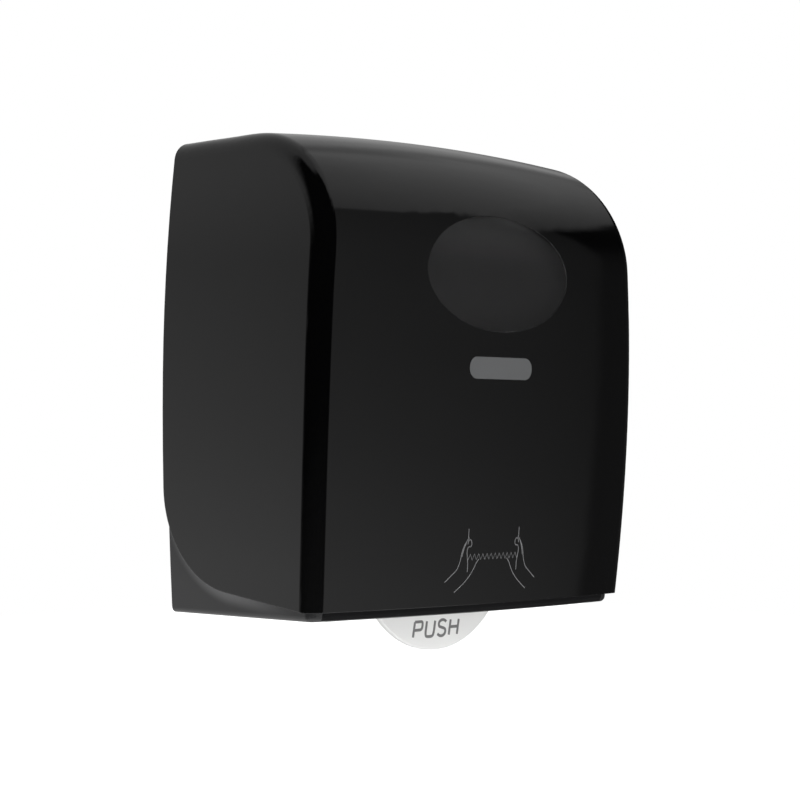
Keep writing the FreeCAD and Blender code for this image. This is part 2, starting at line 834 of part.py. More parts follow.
def make_module():
    make_side_plate("side_plate_left", -1)
    make_side_plate("side_plate_right", 1)
    rear, front = -bridge_rear, -bridge_rear - bridge_depth
    low, high = bridge_low, bridge_low + bridge_height
    bridge = slab([(rear, low), (rear, high), (front, high), (front, high - bridge_wall),
                   (rear - bridge_wall, high - bridge_wall), (rear - bridge_wall, low + bridge_wall),
                   (front, low + bridge_wall), (front, low)], -module_half, module_half)
    save("module_bridge", bridge)
    face = -plate_front
    inside = face + guide_thickness
    guide = [slab([(face, guide_low), (face, guide_high), (inside, guide_high), (inside, guide_low),
                   (inside - guide_funnel, guide_low - guide_funnel),
                   (face - guide_funnel, guide_low - guide_funnel)], -module_half, module_half)]
    step = module_inner_width / (guide_rib_count + 1)
    for i in range(guide_rib_count):
        x = -module_half + step * (i + 1)
        guide.append(block(x - guide_thickness / 2, x + guide_thickness / 2,
                           face - guide_thickness, face + guide_thickness / 2,
                           guide_low + guide_rib_drop, guide_high - guide_rib_drop))
    save("towel_guide", fuse(guide))
    bush = fuse([sleeve(module_half, plate_outer, drum_y, drum_height, drum_shaft_r + bush_wall,
                        drum_shaft_r + running_gap),
                 sleeve(plate_outer, plate_outer + bush_flange, drum_y, drum_height, bush_flange_r,
                        drum_shaft_r + running_gap)])
    save("drum_bush_right", bush)
    save("drum_bush_left", mirrored(bush))


# Drum with its grip bands, shaft, crank and hand wheel

def knife_slot_zone():
    """The opening through the drum's front wall."""
    return block(-knife_slot_length / 2, knife_slot_length / 2, drum_y - 2 * drum_r, drum_y - drum_r / 2,
                 drum_height - knife_slot_below, drum_height + knife_slot_above)


def band_places():
    return [band_spacing * (i - (band_count - 1) / 2) for i in range(band_count)]


def crank_reach():
    """How far the crank pin and the spring post stand out of the left side plate."""
    return bush_flange + crank_side_gap + crank_thickness + crank_pin_length


def make_drum():
    inner_r = drum_r - drum_wall
    shell = sleeve(-drum_half, drum_half, drum_y, drum_height, drum_r, inner_r)
    bands = []
    for x in band_places():
        band = sleeve(x - band_width / 2, x + band_width / 2, drum_y, drum_height,
                      drum_r, drum_r - band_thickness)
        shell = shell.cut(band)
        bands.append(band.cut(knife_slot_zone()))
    shell = shell.cut(knife_slot_zone())
    front_zone = block(-full_width, full_width, drum_y - 2 * drum_r, drum_y, 0, height)
    save("drum_front_shell", shell.common(front_zone))
    ribs = []
    for x in (-drum_rib_spacing, 0, drum_rib_spacing):
        ribs.append(sleeve(x - drum_rib_thickness / 2, x + drum_rib_thickness / 2, drum_y, drum_height,
                           inner_r + drum_wall / 2, drum_shaft_r + running_gap).cut(front_zone))
    save("drum_rear_shell", fuse([shell.cut(front_zone)] + ribs))
    save("grip_bands", Part.makeCompound(bands))
    cap = sleeve(drum_half, cap_outer, drum_y, drum_height, drum_r, drum_shaft_r + running_gap)
    knife_y, knife_h = knife_pivot()
    cap = cap.cut(rod(0, full_width, knife_y, knife_h, knife_pin_r + running_gap))
    save("drum_cap_right", cap)
    save("drum_cap_left", mirrored(cap))
    left_end = -(plate_outer + crank_reach() + wheel_side_gap + wheel_width + wheel_shaft_stub)
    right_end = plate_outer + gear_side_gap + gear_width + wheel_shaft_stub
    save("drum_shaft", rod(left_end, right_end, drum_y, drum_height, drum_shaft_r))
    make_crank()
    make_wheel()


def crank_pin_place():
    """The crank points at the spring's post when the drum is at rest."""
    away = math.atan2(post_height - drum_height, -post_depth - drum_y)
    return drum_y + crank_throw * math.cos(away), drum_height + crank_throw * math.sin(away)


def make_crank():
    outer = -(plate_outer + bush_flange + crank_side_gap)
    inner = outer - crank_thickness
    pin_y, pin_h = crank_pin_place()
    nose_r = crank_hub_r / 2
    away_y, away_h = (pin_y - drum_y) / crank_throw, (pin_h - drum_height) / crank_throw
    web = slab([(drum_y - away_h * crank_hub_r, drum_height + away_y * crank_hub_r),
                (pin_y - away_h * nose_r, pin_h + away_y * nose_r),
                (pin_y + away_h * nose_r, pin_h - away_y * nose_r),
                (drum_y + away_h * crank_hub_r, drum_height - away_y * crank_hub_r)], inner, outer)
    crank = fuse([web, rod(inner, outer, drum_y, drum_height, crank_hub_r),
                  rod(inner, outer, pin_y, pin_h, nose_r),
                  rod(inner - crank_pin_length, outer, pin_y, pin_h, crank_pin_r)])
    save("index_crank", crank.cut(rod(-full_width, 0, drum_y, drum_height, drum_shaft_r + running_gap)))


def make_wheel():
    outer = -(plate_outer + crank_reach() + wheel_side_gap)
    wheel = sleeve(outer - wheel_width, outer, drum_y, drum_height, wheel_r, drum_shaft_r + running_gap)
    for i in range(wheel_flutes):
        y, h = polar(drum_y, drum_height, wheel_r + wheel_flute_r / 2, 360 * i / wheel_flutes)
        wheel = wheel.cut(rod(outer - 2 * wheel_width, outer + wheel_width, y, h, wheel_flute_r))
    save("feed_wheel", wheel)


# Knife: carrier, serrated blade and follower, with the ring that the follower runs in

def knife_pivot():
    """The knife's axis, just inside the drum's wall in front and below."""
    pivot_r = drum_r - drum_wall - knife_boss_gap - knife_boss_r
    return polar(drum_y, drum_height, pivot_r, 180 + knife_pivot_lean)


def follower_tip():
    """The follower's roller, outside the ring's inner wall."""
    tip_r = cam_bore_r + cam_inner_wall + follower_gap + follower_roller_r
    return polar(drum_y, drum_height, tip_r, 180 + follower_lean)


def make_knife():
    pivot_at_y, pivot_at_h = knife_pivot()
    lean = math.radians(knife_rest_lean)
    out_y, out_h = -math.cos(lean), math.sin(lean)
    side_y, side_h = out_h, -out_y

    def at(along, aside):
        return pivot_at_y + out_y * along + side_y * aside, pivot_at_h + out_h * along + side_h * aside

    half = knife_length / 2
    knife_reach = (drum_height - pivot_at_h) / out_h
    blade_start = knife_reach - blade_width
    body_end = knife_reach - blade_tooth - blade_width / 3
    web = slab([at(0, 0), at(body_end, 0), at(body_end, carrier_thickness), at(0, carrier_thickness)],
               -half, half)
    boss = rod(-half, half, pivot_at_y, pivot_at_h, knife_boss_r)
    pins = rod(-cap_outer - seat_gap - follower_arm_thickness, cap_outer,
               pivot_at_y, pivot_at_h, knife_pin_r)
    save("knife_carrier", fuse([web, boss, pins]))
    pitch = knife_length / blade_teeth
    corners = []
    for i in range(blade_teeth):
        corners.append((-half + pitch * i, knife_reach - blade_tooth))
        corners.append((-half + pitch * (i + 1 / 2), knife_reach))
    corners += [(half, knife_reach - blade_tooth), (half, blade_start), (-half, blade_start)]
    ring = []
    for x, along in corners:
        y, h = at(along, 0)
        ring.append(V(x, y, up(h)))
    thick = V(0, -side_y * blade_thickness, -side_h * blade_thickness)
    save("knife_blade", Part.Face(Part.makePolygon(ring + ring[:1])).extrude(thick))
    make_follower(pivot_at_y, pivot_at_h)


def make_follower(pivot_at_y, pivot_at_h):
    near, far = -cap_outer - seat_gap - follower_arm_thickness, -cap_outer - seat_gap
    tip_y, tip_h = follower_tip()
    length = math.hypot(tip_y - pivot_at_y, tip_h - pivot_at_h)
    across_y, across_h = (tip_h - pivot_at_h) / length, (pivot_at_y - tip_y) / length
    r = follower_roller_r
    web = slab([(pivot_at_y + across_y * r, pivot_at_h + across_h * r),
                (tip_y + across_y * r, tip_h + across_h * r),
                (tip_y - across_y * r, tip_h - across_h * r),
                (pivot_at_y - across_y * r, pivot_at_h - across_h * r)], near, far)
    arm = fuse([web, rod(near, far, pivot_at_y, pivot_at_h, follower_boss_r),
                rod(near, far, tip_y, tip_h, r),
                rod(-module_half + cam_floor + seat_gap, far, tip_y, tip_h, r)])
    save("knife_follower", arm.cut(rod(-full_width, 0, pivot_at_y, pivot_at_h, knife_pin_r + running_gap)))
    face = -module_half
    ring = [sleeve(face, face + cam_floor, drum_y, drum_height, cam_r, cam_bore_r),
            sleeve(face, face + cam_depth, drum_y, drum_height, cam_r, cam_r - cam_outer_wall),
            sleeve(face, face + cam_depth, drum_y, drum_height, cam_bore_r + cam_inner_wall, cam_bore_r)]
    save("knife_cam", fuse(ring))


# Pressure roller

def make_press_roller():
    y, h = press_place()
    save("roller_shaft", rod(-plate_outer, plate_outer, y, h, press_shaft_r))
    sleeves = [sleeve(x - press_sleeve_width / 2, x + press_sleeve_width / 2, y, h, press_r,
                      press_shaft_r + running_gap) for x in band_places()]
    save("roller_sleeves", Part.makeCompound(sleeves))


# Gears from the push lever to the drum

def involute(base_r, radius):
    """Polar angle of an involute's point at a radius."""
    turn = math.sqrt(max((radius / base_r) ** 2 - 1, 0))
    return turn - math.atan(turn)


def gear_outline(y, h, teeth, phase, first=0, count=None):
    """Points (y, h) round a gear's teeth, with a tooth's middle at the phase angle."""
    pitch_r = gear_module * teeth / 2
    base_r = pitch_r * math.cos(math.radians(gear_pressure_angle))
    tip_r = pitch_r + gear_addendum_share * gear_module
    root_r = pitch_r - gear_dedendum_share * gear_module
    half_tooth = math.pi / (2 * teeth) - gear_backlash / (2 * pitch_r)
    flank_steps = 4
    low_r = max(base_r, root_r)
    flank = []
    for i in range(flank_steps + 1):
        radius = low_r + (tip_r - low_r) * i / flank_steps
        flank.append((radius, half_tooth + involute(base_r, pitch_r) - involute(base_r, radius)))
    points = []
    for tooth in range(first, first + (teeth if count is None else count)):
        middle = math.radians(phase) + 2 * math.pi * tooth / teeth
        rising = [(root_r, -flank[0][1])] + [(radius, -angle) for radius, angle in flank]
        falling = [(radius, angle) for radius, angle in reversed(flank)] + [(root_r, flank[0][1])]
        for radius, angle in rising + falling:
            points.append(polar(y, h, radius, math.degrees(middle + angle)))
    return points


def make_gears():
    near = plate_outer + gear_side_gap
    far = near + gear_width
    idler_y, idler_h = idler_place()
    to_idler = math.degrees(math.atan2(idler_h - pivot_height, idler_y - pivot_y))
    pitch_angle = 360 / sector_teeth
    first = -math.ceil(sector_below / pitch_angle)
    count = math.ceil(sector_above / pitch_angle) - first + 1
    rim = gear_outline(pivot_y, pivot_height, sector_teeth, to_idler, first, count)
    sector = fuse([slab([(pivot_y, pivot_height)] + rim, near, far),
                   rod(plate_outer + seat_gap, far, pivot_y, pivot_height, sector_hub_r)])
    save("sector_gear", sector.cut(rod(0, full_width, pivot_y, pivot_height, lever_shaft_r + running_gap)))

    back = math.degrees(math.atan2(pivot_height - idler_h, pivot_y - idler_y))
    idler_step = 360 / idler_teeth
    idler_phase = back + idler_step / 2
    idler = slab(gear_outline(idler_y, idler_h, idler_teeth, idler_phase), near, far)
    save("idler_gear", idler.cut(rod(0, full_width, idler_y, idler_h, idler_pin_r + running_gap)))
    pin = fuse([rod(module_half, far + seat_gap, idler_y, idler_h, idler_pin_r),
                rod(far + seat_gap, far + seat_gap + idler_pin_head, idler_y, idler_h, idler_pin_head_r),
                sleeve(plate_outer, near - seat_gap, idler_y, idler_h, idler_pin_head_r, idler_pin_r / 2)])
    save("idler_pin", pin)

    to_drum = math.degrees(math.atan2(drum_height - idler_h, drum_y - idler_y))
    offset = (idler_phase - to_drum) % idler_step
    from_drum = to_drum + 180
    pinion_step = 360 / pinion_teeth
    pinion_phase = from_drum - offset * idler_teeth / pinion_teeth + pinion_step / 2
    pinion = slab(gear_outline(drum_y, drum_height, pinion_teeth, pinion_phase), near, far)
    save("feed_pinion", pinion.cut(rod(0, full_width, drum_y, drum_height, drum_shaft_r + running_gap)))


# Push lever with its shaft and spring

def make_lever():
    half = lever_width / 2
    front = -lever_plate_depth - lever_plate_thickness / 2
    rear = front + lever_plate_thickness
    bar = block(-half, half, front, rear, -lever_bar_drop, lever_bar_top)
    half_chord = lever_paddle_width / 2
    chord_r = (half_chord ** 2 + lever_paddle_drop ** 2) / (2 * lever_paddle_drop)
    low = -lever_bar_drop - lever_paddle_drop
    disc = stud(0, low + chord_r, front, rear, chord_r)
    paddle = disc.common(block(-half, half, front, rear, low, 0))
    plate = fuse([bar, paddle])
    plate = rounded(plate, lever_edge_r, lambda e: is_front_rim(e, front))
    pieces = [plate]
    for side in (-1, 1):
        ends = sorted((side * half, side * (half - lever_arm_thickness)))
        pieces.append(slab([(front, 0), (front, lever_bar_top), (pivot_y - lever_boss_r, pivot_height),
                            (pivot_y + lever_boss_r, pivot_height), (front + lever_arm_depth, 0)],
                           ends[0], ends[1]))
        pieces.append(rod(ends[0], ends[1], pivot_y, pivot_height, lever_boss_r))
    for i in (-1, 0, 1):
        x = i * lever_rib_spacing / 2
        pieces.append(block(x - lever_rib_thickness / 2, x + lever_rib_thickness / 2,
                            rear - lever_rib_depth / 2, rear + lever_rib_depth / 2,
                            -lever_rib_drop, lever_bar_top))
    bore = rod(-full_width, full_width, pivot_y, pivot_height, lever_shaft_r + running_gap)
    lever = fuse(pieces).cut(bore)
    save("push_lever", lever)
    save("lever_shaft", rod(-plate_outer, plate_outer + gear_side_gap + gear_width, pivot_y, pivot_height,
                            lever_shaft_r))


def make_springs():
    start = V(lever_width / 2 + seat_gap + lever_spring_wire, pivot_y, up(pivot_height))
    turns, ends = coil(start, V(1, 0, 0), V(0, 1, 0), lever_spring_r, lever_spring_pitch, lever_spring_turns)
    (first, first_way), (last, last_way) = ends
    far = first + first_way * lever_spring_leg
    path = [Part.makeLine(far, first)] + turns + [Part.makeLine(last, last + last_way * lever_spring_leg)]
    save("lever_spring", round_wire(path, far, first_way, lever_spring_wire, "lever spring"))

    pin_y, pin_h = crank_pin_place()
    x = -(plate_outer + crank_reach() - crank_pin_length / 2)
    pin = V(x, pin_y, up(pin_h))
    fixed = V(x, -post_depth, up(post_height))
    along = (fixed - pin).normalize()
    side = along.cross(V(1, 0, 0))
    length = (fixed - pin).Length - 2 * index_spring_end
    count = int(length / index_spring_pitch)
    turns, ends = coil(pin + along * index_spring_end, along, side, index_spring_r, length / count, count)
    near_hook, start, start_way = hook(ends[0], pin, along, side)
    far_hook, _, _ = hook(ends[1], fixed, -along, side)
    path = near_hook[::-1] + turns + far_hook
    save("index_spring", round_wire(path, start, start_way, index_spring_wire, "index spring"))


def hook(coil_end, centre, along, side):
    """A bend out of the coil and a loop of three quarters round a pin along X, with its end."""
    place, way = coil_end
    loop_r = crank_pin_r + seat_gap + index_spring_wire / 2
    sideways = V(math.copysign(index_spring_bend, way.x), 0, 0)
    bent = centre + along * (index_spring_end - index_spring_bend) + side * loop_r + sideways
    middle = centre + sideways
    edges = biarc(place, way, bent, -along)
    edges.append(Part.makeLine(bent, middle + side * loop_r))
    corners = [side, -along, -side, along]
    for first, last in zip(corners, corners[1:]):
        between = (first + last).normalize()
        corner = [middle + way * loop_r for way in (first, between, last)]
        edges.append(Part.Arc(*corner).toShape())
    return edges, middle + along * loop_r, side


def is_front_rim(edge, front):
    box = edge.BoundBox
    return abs(box.YMax - front) < hole_gap and abs(box.YMin - front) < hole_gap


def biarc(start, start_way, end, end_way):
    """Two tangent arcs between two points with given directions."""
    across = end - start
    both = start_way + end_way
    square = 2 * (start_way.dot(end_way) - 1)
    linear = -2 * across.dot(both)
    root = math.sqrt(linear * linear - 4 * square * across.dot(across))
    reach = (-linear - root) / (2 * square)
    join = (start + start_way * reach + end - end_way * reach) * (1 / 2)
    arcs = []
    spans = ((start, start + start_way * reach, join), (join, end - end_way * reach, end))
    for first, corner, last in spans:
        middle = (first + last) * (1 / 2)
        lean = (last - first).Length / (2 * reach)
        arcs.append(Part.Arc(first, middle + (corner - middle) * (lean / (1 + lean)), last).toShape())
    return arcs


def coil(start, axis, aside, radius, pitch, turns):
    """The edges of a coil, with the place and outward way of its two ends."""
    other = axis.cross(aside)
    quarters = 4 * turns
    slope = pitch / (2 * math.pi * radius)

    def at(i):
        angle = math.pi / 2 * i
        outward = aside * math.cos(angle) + other * math.sin(angle)
        round_way = other * math.cos(angle) - aside * math.sin(angle)
        return start + outward * radius + axis * (pitch * i / 4), (round_way + axis * slope).normalize()

    edges = []
    for i in range(quarters):
        here, here_way = at(i)
        there, there_way = at(i + 1)
        edges += biarc(here, here_way, there, there_way)
    first, first_way = at(0)
    return edges, ((first, -first_way), at(quarters))


def round_wire(path, start, start_way, wire, name):
    """One unbroken tube along a path, with its least gap to itself measured on points."""
    ring = Part.Circle(start, start_way, wire / 2).toShape()
    spine = Part.Wire(path)
    body = spine.makePipeShell([Part.Wire(ring)], True, False)
    points = spine.discretize(Distance=wire / 2)
    apart = 6
    nearest = min((here - there).Length for i, here in enumerate(points) for there in points[i + apart:])
    print(name, "least gap to itself", round(nearest - wire, 2), "mm, tube", round(body.Volume, 1),
          "mm3, section x length", round(math.pi * wire * wire / 4 * spine.Length, 1), "mm3")
    return body


os.makedirs("parts", exist_ok=True)
make_cover()
make_plate()
make_housing()
make_screws()
make_lock()
make_roll()
make_module()
make_drum()
make_knife()
make_press_roller()
make_gears()
make_lever()
make_springs()
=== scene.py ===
"""Looks of the lever paper towel dispenser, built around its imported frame.

Lengths are in metres, unless a field says millimetres, pixels or degrees. X
runs across the front, the front faces -Y, Z is up, and the origin is the
centre of the wall screws' pattern on the back face.
"""

import json
import logging
import math
from collections.abc import Callable, Iterable, Sequence
from dataclasses import dataclass
from enum import Enum

import bmesh
import bpy
from mathutils import Matrix, Vector
from mathutils.bvhtree import BVHTree

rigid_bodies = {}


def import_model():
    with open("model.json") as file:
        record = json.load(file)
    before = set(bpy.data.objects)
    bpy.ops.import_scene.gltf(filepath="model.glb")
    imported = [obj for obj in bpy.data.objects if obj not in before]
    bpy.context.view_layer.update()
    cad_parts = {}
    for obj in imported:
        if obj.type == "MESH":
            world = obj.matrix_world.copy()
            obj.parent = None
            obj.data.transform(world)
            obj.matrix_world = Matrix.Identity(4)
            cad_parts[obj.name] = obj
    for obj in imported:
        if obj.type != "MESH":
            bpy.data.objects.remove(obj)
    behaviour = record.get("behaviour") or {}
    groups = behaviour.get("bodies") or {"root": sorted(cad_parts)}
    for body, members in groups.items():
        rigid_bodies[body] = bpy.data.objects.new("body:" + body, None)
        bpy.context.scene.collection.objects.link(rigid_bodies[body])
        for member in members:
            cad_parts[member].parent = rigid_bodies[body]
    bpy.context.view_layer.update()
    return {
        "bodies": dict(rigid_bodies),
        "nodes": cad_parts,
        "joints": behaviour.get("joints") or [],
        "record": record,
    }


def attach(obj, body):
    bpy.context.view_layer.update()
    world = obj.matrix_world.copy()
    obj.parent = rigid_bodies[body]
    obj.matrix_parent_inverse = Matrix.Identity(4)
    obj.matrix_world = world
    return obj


LOG = logging.getLogger("dispenser")
MM = 0.001
CASE_HEIGHT = 331 * MM
BASE_Z = -CASE_HEIGHT / 2
ROLL_Y = -86 * MM
ROLL_Z = BASE_Z + 226 * MM
PLASTIC_IOR = 1.5

Colour = tuple[float, float, float]
Point = tuple[float, float]
Socket = bpy.types.NodeSocket


# Shader graphs


class Graph:
    """Adds and links the nodes of one shader tree."""

    def __init__(self, tree: bpy.types.NodeTree) -> None:
        """Args: tree: the tree that the nodes go into."""
        self.tree = tree

    def node(self, kind: str, inputs: dict | None = None, **settings: object) -> bpy.types.Node:
        """Adds a node.

        Args:
            kind: the node's type name after "ShaderNode".
            inputs: values or output sockets by input name or number.
            settings: properties of the node itself.

        Returns:
            The new node.
        """
        node = self.tree.nodes.new("ShaderNode" + kind)
        for name, value in settings.items():
            setattr(node, name, value)
        for name, value in (inputs or {}).items():
            self.feed(node.inputs[name], value)
        return node

    def feed(self, socket: Socket, value: object) -> None:
        """Sets an input or links it.

        Args:
            socket: the input.
            value: an output socket, a number or a colour.
        """
        if isinstance(value, Socket):
            self.tree.links.new(value, socket)
        elif socket.type == "RGBA" and len(value) == 3:
            socket.default_value = (*value, 1.0)
        else:
            socket.default_value = value

    def maths(self, operation: str, *values: object) -> Socket:
        """Adds a Math node.

        Args:
            operation: its operation.
            values: its inputs in order.

        Returns:
            Its output.
        """
        return self.node("Math", dict(enumerate(values)), operation=operation).outputs[0]

    def ramp(self, value: object, low: float, high: float, to_low: float = 0.0, to_high: float = 1.0,
             smooth: bool = False) -> Socket:
        """Maps a range onto another, held at its ends.

        Args:
            value: the value that is mapped.
            low: start of the range.
            high: end of the range.
            to_low: result at the start.
            to_high: result at the end.
            smooth: whether the ends are eased.

        Returns:
            The mapped value.
        """
        kind = "SMOOTHSTEP" if smooth else "LINEAR"
        inputs = {"Value": value, "From Min": low, "From Max": high, "To Min": to_low, "To Max": to_high}
        return self.node("MapRange", inputs, interpolation_type=kind).outputs[0]

    def blend(self, factor: object, first: object, second: object, mode: str = "MIX") -> Socket:
        """Mixes two colours.

        Args:
            factor: share of the second colour.
            first: the first colour.
            second: the second colour.
            mode: blend type.

        Returns:
            The mixed colour.
        """
        node = self.node("Mix", data_type="RGBA", blend_type=mode)
        for number, value in ((0, factor), (6, first), (7, second)):
            self.feed(node.inputs[number], value)
        return node.outputs[2]

    def between(self, factor: object, first: object, second: object) -> Socket:
        """Mixes two numbers.

        Args:
            factor: share of the second number.
            first: the first number.
            second: the second number.

        Returns:
            The mixed number.
        """
        node = self.node("Mix", data_type="FLOAT")
        for number, value in ((0, factor), (2, first), (3, second)):
            self.feed(node.inputs[number], value)
        return node.outputs[0]

    def shaded(self, colour: object, level: object) -> Socket:
        """A colour times a level of grey."""
        grey = self.node("CombineXYZ", {0: level, 1: level, 2: level}).outputs[0]
        return self.blend(1.0, colour, grey, "MULTIPLY")

    def noise(self, place: object, scale: object, detail: float = 2.0, roughness: float = 0.5) -> Socket:
        """Noise that is about 0.5 in the mean.

        Args:
            place: where it is read.
            scale: how many of its lumps fill a metre.
            detail: how many finer layers it has.
            roughness: strength of the finer layers.

        Returns:
            Its value.
        """
        inputs = {"Vector": place, "Scale": scale, "Detail": detail, "Roughness": roughness}
        return self.node("TexNoise", inputs).outputs[0]

    def split(self, vector: object) -> list[Socket]:
        """X, Y and Z of a vector."""
        return list(self.node("SeparateXYZ", {0: vector}).outputs)

    def span(self, first: object, second: object) -> Socket:
        """Length of a step with two sides at right angles."""
        squares = [self.maths("POWER", side, 2.0) for side in (first, second)]
        return self.maths("SQRT", self.maths("ADD", *squares))


def new_group(name: str, inputs: Sequence[tuple[str, str]], outputs: Sequence[tuple[str, str]]) -> tuple[
        Graph, bpy.types.Node, bpy.types.Node]:
    """Starts a shader node group.

    Args:
        name: the group's name.
        inputs: names and kinds of its inputs.
        outputs: names and kinds of its outputs.

    Returns:
        The group's graph, its input node and its output node.
    """
    tree = bpy.data.node_groups.new(name, "ShaderNodeTree")
    for way, sockets in (("INPUT", inputs), ("OUTPUT", outputs)):
        for label, kind in sockets:
            tree.interface.new_socket(label, in_out=way, socket_type="NodeSocket" + kind)
    start = tree.nodes.new("NodeGroupInput")
    end = tree.nodes.new("NodeGroupOutput")
    return Graph(tree), start, end


class Effects:
    """The shader groups that several finishes share, each built once.

    Attributes:
        fine_ratio: how much finer the roughness's second noise is than its first.
        least_roughness: the lowest roughness that the patches give.
        edge_cosines: cosine of a face's turn where an edge starts to count, and where it counts fully.
        break_scale: scale of the noise that breaks up the worn and highlit edges.
        breaks: noise levels between which the worn and highlit edges set in.
        bevel_rays: rays that look for an edge.
    """

    fine_ratio = 5.3
    least_roughness = 0.02
    edge_cosines = (0.995, 0.8)
    break_scale = 420.0
    breaks = (0.4, 0.62)
    bevel_rays = 4

    def __init__(self) -> None:
        """Builds the groups."""
        self.patches = self._patches()
        self.grain = self._grain()
        self.edges = self._edges()

    def _patches(self) -> bpy.types.NodeTree:
        """Slow changes of colour and roughness over a moulded or rolled face."""
        graph, start, end = new_group(
            "patches",
            (("Vector", "Vector"), ("Colour", "Color"), ("Variation", "Float"), ("Scale", "Float"),
             ("Roughness", "Float"), ("Spread", "Float")),
            (("Colour", "Color"), ("Roughness", "Float")))
        place, scale = start.outputs["Vector"], start.outputs["Scale"]
        wide = graph.noise(place, scale, 3.0, 0.55)
        fine = graph.noise(place, graph.maths("MULTIPLY", scale, self.fine_ratio))
        swing = graph.maths("MULTIPLY", graph.maths("SUBTRACT", wide, 0.5), start.outputs["Variation"])
        colour = graph.shaded(start.outputs["Colour"], graph.maths("MULTIPLY_ADD", swing, 2.0, 1.0))
        both = graph.maths("SUBTRACT", graph.maths("ADD", wide, fine), 1.0)
        rough = graph.maths("MULTIPLY_ADD", both, start.outputs["Spread"], start.outputs["Roughness"])
        graph.feed(end.inputs["Colour"], colour)
        graph.feed(end.inputs["Roughness"], graph.maths("MAXIMUM", rough, self.least_roughness))
        return graph.tree

    @staticmethod
    def _grain() -> bpy.types.NodeTree:
        """Fine height of a moulded face, with a slower swell under it."""
        graph, start, end = new_group(
            "grain", (("Vector", "Vector"), ("Scale", "Float"), ("Swell Scale", "Float"), ("Swell", "Float")),
            (("Height", "Float"),))
        fine = graph.noise(start.outputs["Vector"], start.outputs["Scale"], 2.0, 0.6)
        swell = graph.noise(start.outputs["Vector"], start.outputs["Swell Scale"], 0.0)
        graph.feed(end.inputs["Height"], graph.maths("MULTIPLY_ADD", swell, start.outputs["Swell"], fine))
        return graph.tree

    def _edges(self) -> bpy.types.NodeTree:
        """A mask that is high along edges, broken up by noise."""
        graph, start, end = new_group(
            "worn_and_highlit_edges", (("Vector", "Vector"), ("Reach", "Float"), ("Amount", "Float")),
            (("Mask", "Float"),))
        rounded = graph.node("Bevel", {"Radius": start.outputs["Reach"]}, samples=self.bevel_rays)
        flat = graph.node("NewGeometry").outputs["Normal"]
        meet = graph.node("VectorMath", {0: rounded.outputs[0], 1: flat}, operation="DOT_PRODUCT")
        turn = graph.ramp(meet.outputs["Value"], *self.edge_cosines)
        broken = graph.ramp(graph.noise(start.outputs["Vector"], self.break_scale, 3.0), *self.breaks)
        mask = graph.maths("MULTIPLY", graph.maths("MULTIPLY", turn, broken), start.outputs["Amount"])
        graph.feed(end.inputs["Mask"], mask)
        return graph.tree


class Shader:
    """One material under way: its graph, its Object coordinates and its Principled shader."""

    def __init__(self, name: str, effects: Effects) -> None:
        """Args: name: the material's name. effects: the shared groups."""
        self.material = bpy.data.materials.new(name)
        self.material.use_nodes = True
        self.effects = effects
        self.graph = Graph(self.material.node_tree)
        self.principled = self.material.node_tree.nodes["Principled BSDF"]
        self.place = self.graph.node("TexCoord").outputs["Object"]

    def group(self, tree: bpy.types.NodeTree, inputs: dict) -> bpy.types.Node:
        """Places a shared group.

        Args:
            tree: the group.
            inputs: its values and links.

        Returns:
            The group's node.
        """
        node = self.graph.node("Group", node_tree=tree)
        for name, value in inputs.items():
            self.graph.feed(node.inputs[name], value)
        return node

    def patches(self, colour: Colour, variation: float, size: float, roughness: float,
                spread: float) -> tuple[Socket, Socket]:
        """Colour and roughness that vary slowly.

        Args:
            colour: the middle colour.
            variation: how far the colour swings, as a share.
            size: width of the patches.
            roughness: the middle roughness.
            spread: how far the roughness swings.

        Returns:
            The colour and the roughness.
        """
        node = self.group(self.effects.patches, {
            "Vector": self.place, "Colour": colour, "Variation": variation, "Scale": 1 / size,
            "Roughness": roughness, "Spread": spread})
        return node.outputs["Colour"], node.outputs["Roughness"]

    def grain(self, scale: float, swell_scale: float, swell: float) -> Socket:
        """Height of a moulded or printed face.

        Args:
            scale: scale of the grains.
            swell_scale: scale of the slow swell.
            swell: height of the swell, in grains.

        Returns:
            The height.
        """
        node = self.group(self.effects.grain, {
            "Vector": self.place, "Scale": scale, "Swell Scale": swell_scale, "Swell": swell})
        return node.outputs["Height"]

    def from_roll(self) -> list[Socket]:
        """X, and Y and Z counted from the paper roll's axis."""
        moved = self.graph.node("Mapping", {"Vector": self.place, "Location": (0.0, -ROLL_Y, -ROLL_Z)})
        return self.graph.split(moved.outputs[0])

    def bump(self, height: Socket, depth: float, edge_round: float = 0.0) -> None:
        """Feeds the shader's normal.

        Args:
            height: the surface's height, about 0 to 1.
            depth: how deep a height of 1 is.
            edge_round: radius at which edges catch the light.
        """
        bump = self.graph.node("Bump", {"Height": height, "Distance": depth, "Strength": 1.0})
        if edge_round:
            rounded = self.graph.node("Bevel", {"Radius": edge_round}, samples=Effects.bevel_rays)
            self.graph.feed(bump.inputs["Normal"], rounded.outputs[0])
        self.graph.feed(self.principled.inputs["Normal"], bump.outputs[0])

    def set(self, **values: object) -> None:
        """Sets or links the shader's inputs, whose names have underscores for spaces."""
        for name, value in values.items():
            self.graph.feed(self.principled.inputs[name.replace("_", " ")], value)


# Finishes


